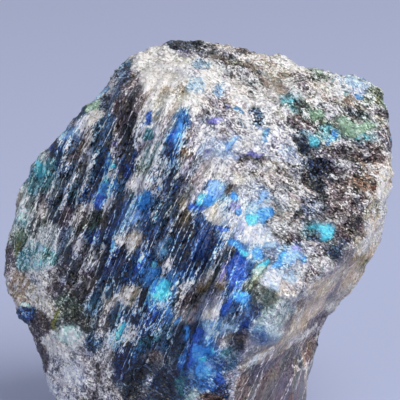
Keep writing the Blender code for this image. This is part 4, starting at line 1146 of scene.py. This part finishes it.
# %% Flecks of painted glint, pits of painted shade, and hairlines
GLINT_FROM, GLINT_FULL, CRUST_GLINT = 0.82, 0.85, 0.6
PIT_SHADE_FROM, PIT_SHADE_FULL, PIT_SHADE = 0.18, 0.15, -0.34
SCRATCH_FROM, SCRATCH_FULL = 0.42, 0.52
LINE_HIGHLIGHT, CALM_LINE = 0.42, 0.1
PALE_FROM, PALE_FULL = 0.55, 0.8
PALE_SPECKLE, PALE_DARKEST = 0.8, -0.27

# White flecks: painted glints where grain facets would catch the light.
glint_grain = add("MapRange", {"Value": dust["Red"], "From Min": GLINT_FROM, "From Max": GLINT_FULL}, **EASED)
fleck_glint = add("Mix", {0: crusted, 2: amount["glassy glint"], 3: CRUST_GLINT})
fleck_glint = add("Math", {0: glint_grain, 1: fleck_glint}, operation="MULTIPLY")
speckle = add("Math", {0: speckle, 1: fleck_glint}, operation="ADD")
# Dark pits: painted shade of small holes between the grains.
pit_shade = add("MapRange", {"Value": dust["Red"], "From Min": PIT_SHADE_FROM, "From Max": PIT_SHADE_FULL}, **EASED)
speckle = add("Math", {0: pit_shade, 1: PIT_SHADE, 2: speckle}, operation="MULTIPLY_ADD")
speckle = add("Math", {0: speckle, 1: painted["grainy"]}, operation="MULTIPLY")

gritty = add("MapRange", {"Value": grit, "From Min": SCRATCH_FROM, "From Max": SCRATCH_FULL}, **EASED)
# Hairlines lightened where the grit is high: a painted highlight along the sheet edges.
edge_highlight = add("Math", {0: edge_crust_and_highlight, 1: gritty}, operation="MULTIPLY")
edge_highlight_share = add("Mix", {0: painted["calm"], 2: CALM_LINE, 3: LINE_HIGHLIGHT})
speckle = add("Math", {0: edge_highlight, 1: edge_highlight_share, 2: speckle}, operation="MULTIPLY_ADD")

pale = add("MapRange", {"Value": tint_grey, "From Min": PALE_FROM, "From Max": PALE_FULL}, **EASED)
held = add("Mix", {0: pale, 2: 1.0, 3: PALE_SPECKLE})
held = add("Math", {0: speckle, 1: held}, operation="MULTIPLY")
darkest = add("Mix", {0: pale, 2: -1.0, 3: PALE_DARKEST})
speckle = add("Math", {0: held, 1: darkest}, operation="MAXIMUM")
print("nodes with flecks:", len(tree.nodes))

# %% [markdown]
# Now the body colour. Each slab leans a little warm or cool, and a little leafy or pink,
# because what is mixed into the feldspar varies. Crust is greyer than what it lies on.

# %% The body colour
WARM = (0.07, 0.01, -0.06)
LEAFY = (-0.03, 0.03, -0.01)
CRUST_GREY = (0.98, 0.99, 1.02)
GREY_GAIN, GREY_LIFT = 0.8, 0.14

body = painted["tint"]
for leaning, number in ((WARM, slabs["Green"]), (LEAFY, slabs["Blue"])):
    share = add("Math", {0: number, 1: 0.5}, operation="SUBTRACT")
    shift = add("VectorMath", {0: leaning, "Scale": share}, operation="SCALE")
    body = add("VectorMath", {0: body, 1: shift}, operation="ADD")
grey = add("RGBToBW", {"Color": body})
grey = add("Math", {0: grey, 1: GREY_GAIN, 2: GREY_LIFT}, operation="MULTIPLY_ADD")
grey = add("VectorMath", {0: CRUST_GREY, "Scale": grey}, operation="SCALE")
greyed = add("Math", {0: crusted, 1: amount["crust greyness"]}, operation="MULTIPLY")
body = add("Mix", {0: greyed, 6: body, 7: grey}, 2, data_type="RGBA")
print("nodes with the body colour:", len(tree.nodes))

# %% [markdown]
# Flashes break up at their edges with the same grains as the stone, and crust hides part of
# them. Inside they are glassy, so the speckle is halved there, and brightest at their middle.

# %% Flashes over the body colour
GRIT_FRAY, CHIP_FRAY = 0.7, 0.3
FLASH_FROM, FLASH_FULL = 0.24, 0.6
THROUGH_CRUST = 0.8
GLOW_FROM, GLOW_FULL, GLOW_LEAST, GLOW_MOST = 0.35, 0.85, 0.85, 1.14
GLASSY_SPECKLE = 0.5

frayed = about(chips["Green"], CHIP_FRAY, about(grit, GRIT_FRAY, painted["flash"]))
flash_share = add("MapRange", {"Value": frayed, "From Min": FLASH_FROM, "From Max": FLASH_FULL}, **EASED)
through = add("Mix", {0: crusted, 2: 1.0, 3: THROUGH_CRUST})
flash_share = add("Math", {0: flash_share, 1: through}, operation="MULTIPLY")
glow = add("MapRange", {"Value": painted["flash"], "From Min": GLOW_FROM, "From Max": GLOW_FULL}, **EASED)
glow = add("Mix", {0: glow, 2: GLOW_LEAST, 3: GLOW_MOST})
glow = add("VectorMath", {0: painted["flash_colour"], "Scale": glow}, operation="SCALE")
body = add("Mix", {0: flash_share, 6: body, 7: glow}, 2, data_type="RGBA")
glassy = add("Mix", {0: flash_share, 2: 1.0, 3: GLASSY_SPECKLE})
speckle = add("Math", {0: speckle, 1: glassy}, operation="MULTIPLY")
print("nodes with flashes:", len(tree.nodes))

# %% [markdown]
# The speckle is now put on the body colour. What is darker keeps most of the hue of its tone,
# and what is lighter keeps a third of it, since broken feldspar whitens. All this is done in
# the values that a screen shows. A gamma of 2.2 turns them into reflectance, which is what
# Cycles works in.

# %% Body colour plus speckle, turned into reflectance
DARKEST_GREY = 0.08
HUE_KEPT, LIT_HUE_KEPT = 0.7, 0.45
DEPTH_FROM, DEPTH_FULL, DEPTH_LEAST = 0.1, 0.45, 0.45
DARKEST, PALEST = 0.03, 0.93
SCREEN_GAMMA = 2.2

own_grey = add("RGBToBW", {"Color": body})
own_grey = add("Math", {0: own_grey, 1: DARKEST_GREY}, operation="MAXIMUM")
hue = add("VectorMath", {0: body, 1: own_grey}, operation="DIVIDE")
hues = []  # for what is darker, then for what is lighter
for kept in (HUE_KEPT, LIT_HUE_KEPT):
    hue = add("VectorMath", {0: hue, 1: (kept,) * 3, 2: (1 - kept,) * 3}, operation="MULTIPLY_ADD")
    hues.append(hue)

depth = add("MapRange", {"Value": own_grey, "From Min": DEPTH_FROM, "From Max": DEPTH_FULL}, **EASED)
depth = add("Mix", {0: depth, 2: DEPTH_LEAST, 3: 1.0})
below = add("Math", {0: speckle, 1: 0.0}, operation="MINIMUM")
below = add("Math", {0: below, 1: depth}, operation="MULTIPLY")
above = add("Math", {0: speckle, 1: 0.0}, operation="MAXIMUM")
tone = body
for hue, part in zip(hues, (below, above)):
    change = add("VectorMath", {0: hue, "Scale": part}, operation="SCALE")
    tone = add("VectorMath", {0: tone, 1: change}, operation="ADD")
tone = add("VectorMath", {0: tone, 1: (DARKEST,) * 3}, operation="MAXIMUM")
tone = add("VectorMath", {0: tone, 1: (PALEST,) * 3}, operation="MINIMUM")
colour = add("Gamma", {"Color": tone, "Gamma": SCREEN_GAMMA})
tree.links.new(colour, shader.inputs["Base Color"])
print("nodes with the colour:", len(tree.nodes))

# %% [markdown]
# Cleaved stone is glassy and crushed stone is dull. Every grain has a flat top that leans its
# own way and catches the light or not. Those tops are too fine for the skin's points, so they
# are bump. Heights here are in millimetres.

# %% Gloss and facets
GLASSY = 0.2
DULL = 0.45
FLASH_POLISH = -0.05
SLAB_TOP, CHIP_TOP, DUST_TOP, GRIT_TOP = 0.6, 1.1, 0.9, 0.12
CALM_TOPS = 0.08

dull = add("Mix", {0: crusted, 2: GLASSY, 3: DULL})
dull = add("Math", {0: flash_share, 1: FLASH_POLISH, 2: dull}, operation="MULTIPLY_ADD")
tree.links.new(dull, shader.inputs["Roughness"])
tops = ((slab_facet, SLAB_TOP), (chip_facet, CHIP_TOP), (dust_facet, DUST_TOP), (grit, GRIT_TOP))
bumps = 0.0
for facet, high in tops:
    bumps = add("Math", {0: facet, 1: high, 2: bumps}, operation="MULTIPLY_ADD")
flatness = add("Mix", {0: painted["calm"], 2: CALM_TOPS, 3: 1.0})
bumps = add("Math", {0: bumps, 1: flatness}, operation="MULTIPLY")
bump = add("Bump", {"Height": bumps, "Distance": MM, "Strength": 1.0})
tree.links.new(bump, shader.inputs["Normal"])
stone.data.materials.clear()
stone.data.materials.append(labradorite)
print("material nodes:", len(tree.nodes))

# %% [markdown]
# The stone stands on a plain sheet of matt lavender paper that runs far behind it and fills the
# picture. Paper has no sheen to speak of, so its roughness is high.

# %% The lavender sheet
SHEET_SIZE = 6
PAPER_ROUGHNESS = 0.8


def linear(code):
    """A hex colour as the linear values that lights and plain paints work in."""
    return [v / 12.92 if v < 0.04045 else ((v + 0.055) / 1.055) ** 2.4 for v in screen(code)]


bpy.ops.mesh.primitive_plane_add(size=SHEET_SIZE, location=(0, 0, 0))
floor = bpy.context.active_object
floor.name = "lavender_sheet"
paper = bpy.data.materials.new("matt lavender paper")
paper.use_nodes = True
paper.node_tree.nodes["Principled BSDF"].inputs["Base Color"].default_value = (*linear("#a7b2d3"), 1)
paper.node_tree.nodes["Principled BSDF"].inputs["Roughness"].default_value = PAPER_ROUGHNESS
floor.data.materials.append(paper)
print("sheet:", SHEET_SIZE, "metres square")

# %% [markdown]
# One large soft light stands up to the right, a weaker one in front, one lights the sheet behind
# the stone, and the room gives the rest. Sizes are in metres and powers in watts.

# %% Lights and room
ROOM_LIGHT = 0.4


def softbox(name, place, size, power, colour, target):
    """A square area light that looks at a place."""
    bpy.ops.object.light_add(type="AREA", location=place)
    lamp = bpy.context.active_object
    lamp.name = name
    lamp.data.size = size
    lamp.data.energy = power
    lamp.data.color = linear(colour)
    aim = Vector(target) - Vector(place)
    lamp.rotation_euler = aim.to_track_quat("-Z", "Y").to_euler()


heart = Vector(HEART * MM)
behind = (0.1, 1.1, 0)
softbox("key_softbox", (0.7, -0.85, 1.05), size=1.2, power=28.0, colour="#fffaf4", target=heart)
softbox("front_softbox", (-0.7, -1.1, 0.5), size=0.7, power=3.0, colour="#f4f6ff", target=heart)
softbox("back_softbox", (0.3, 1.2, 1.3), size=0.8, power=5.0, colour="#fff4f0", target=behind)
room = bpy.data.worlds.new("pale room")
room.use_nodes = True
room.node_tree.nodes["Background"].inputs["Color"].default_value = (*linear("#eaebf3"), 1)
room.node_tree.nodes["Background"].inputs["Strength"].default_value = ROOM_LIGHT
bpy.context.scene.world = room
bpy.context.scene.view_settings.view_transform = "Standard"
print("lights:", len(bpy.data.lights))

# %% [markdown]
# The camera looks slightly down on the stone from the front, near enough to cut off its foot.
# Its lens follows from how far away it stands and how wide a strip of the scene it shows.

# %% Camera
CAMERA_DISTANCE = 0.45
PICTURE_WIDTH = 0.0736
AIM_ABOVE_HEART = 6.44 * MM
NEAREST_SEEN = 0.01
bpy.ops.object.camera_add()
camera = bpy.context.active_object
back_way = Vector((0, -math.cos(LOOK_DOWN), math.sin(LOOK_DOWN)))
up_way = Vector((0, math.sin(LOOK_DOWN), math.cos(LOOK_DOWN)))
target = Vector(HEART * MM) + up_way * AIM_ABOVE_HEART
camera.location = target + back_way * CAMERA_DISTANCE
camera.rotation_euler = (-back_way).to_track_quat("-Z", "Y").to_euler()
camera.data.lens = camera.data.sensor_width * CAMERA_DISTANCE / PICTURE_WIDTH
camera.data.clip_start = NEAREST_SEEN
bpy.context.scene.camera = camera
print("lens in millimetres:", round(camera.data.lens, 1))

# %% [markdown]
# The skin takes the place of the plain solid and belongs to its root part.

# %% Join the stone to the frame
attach(stone, "root")
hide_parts(NODE)
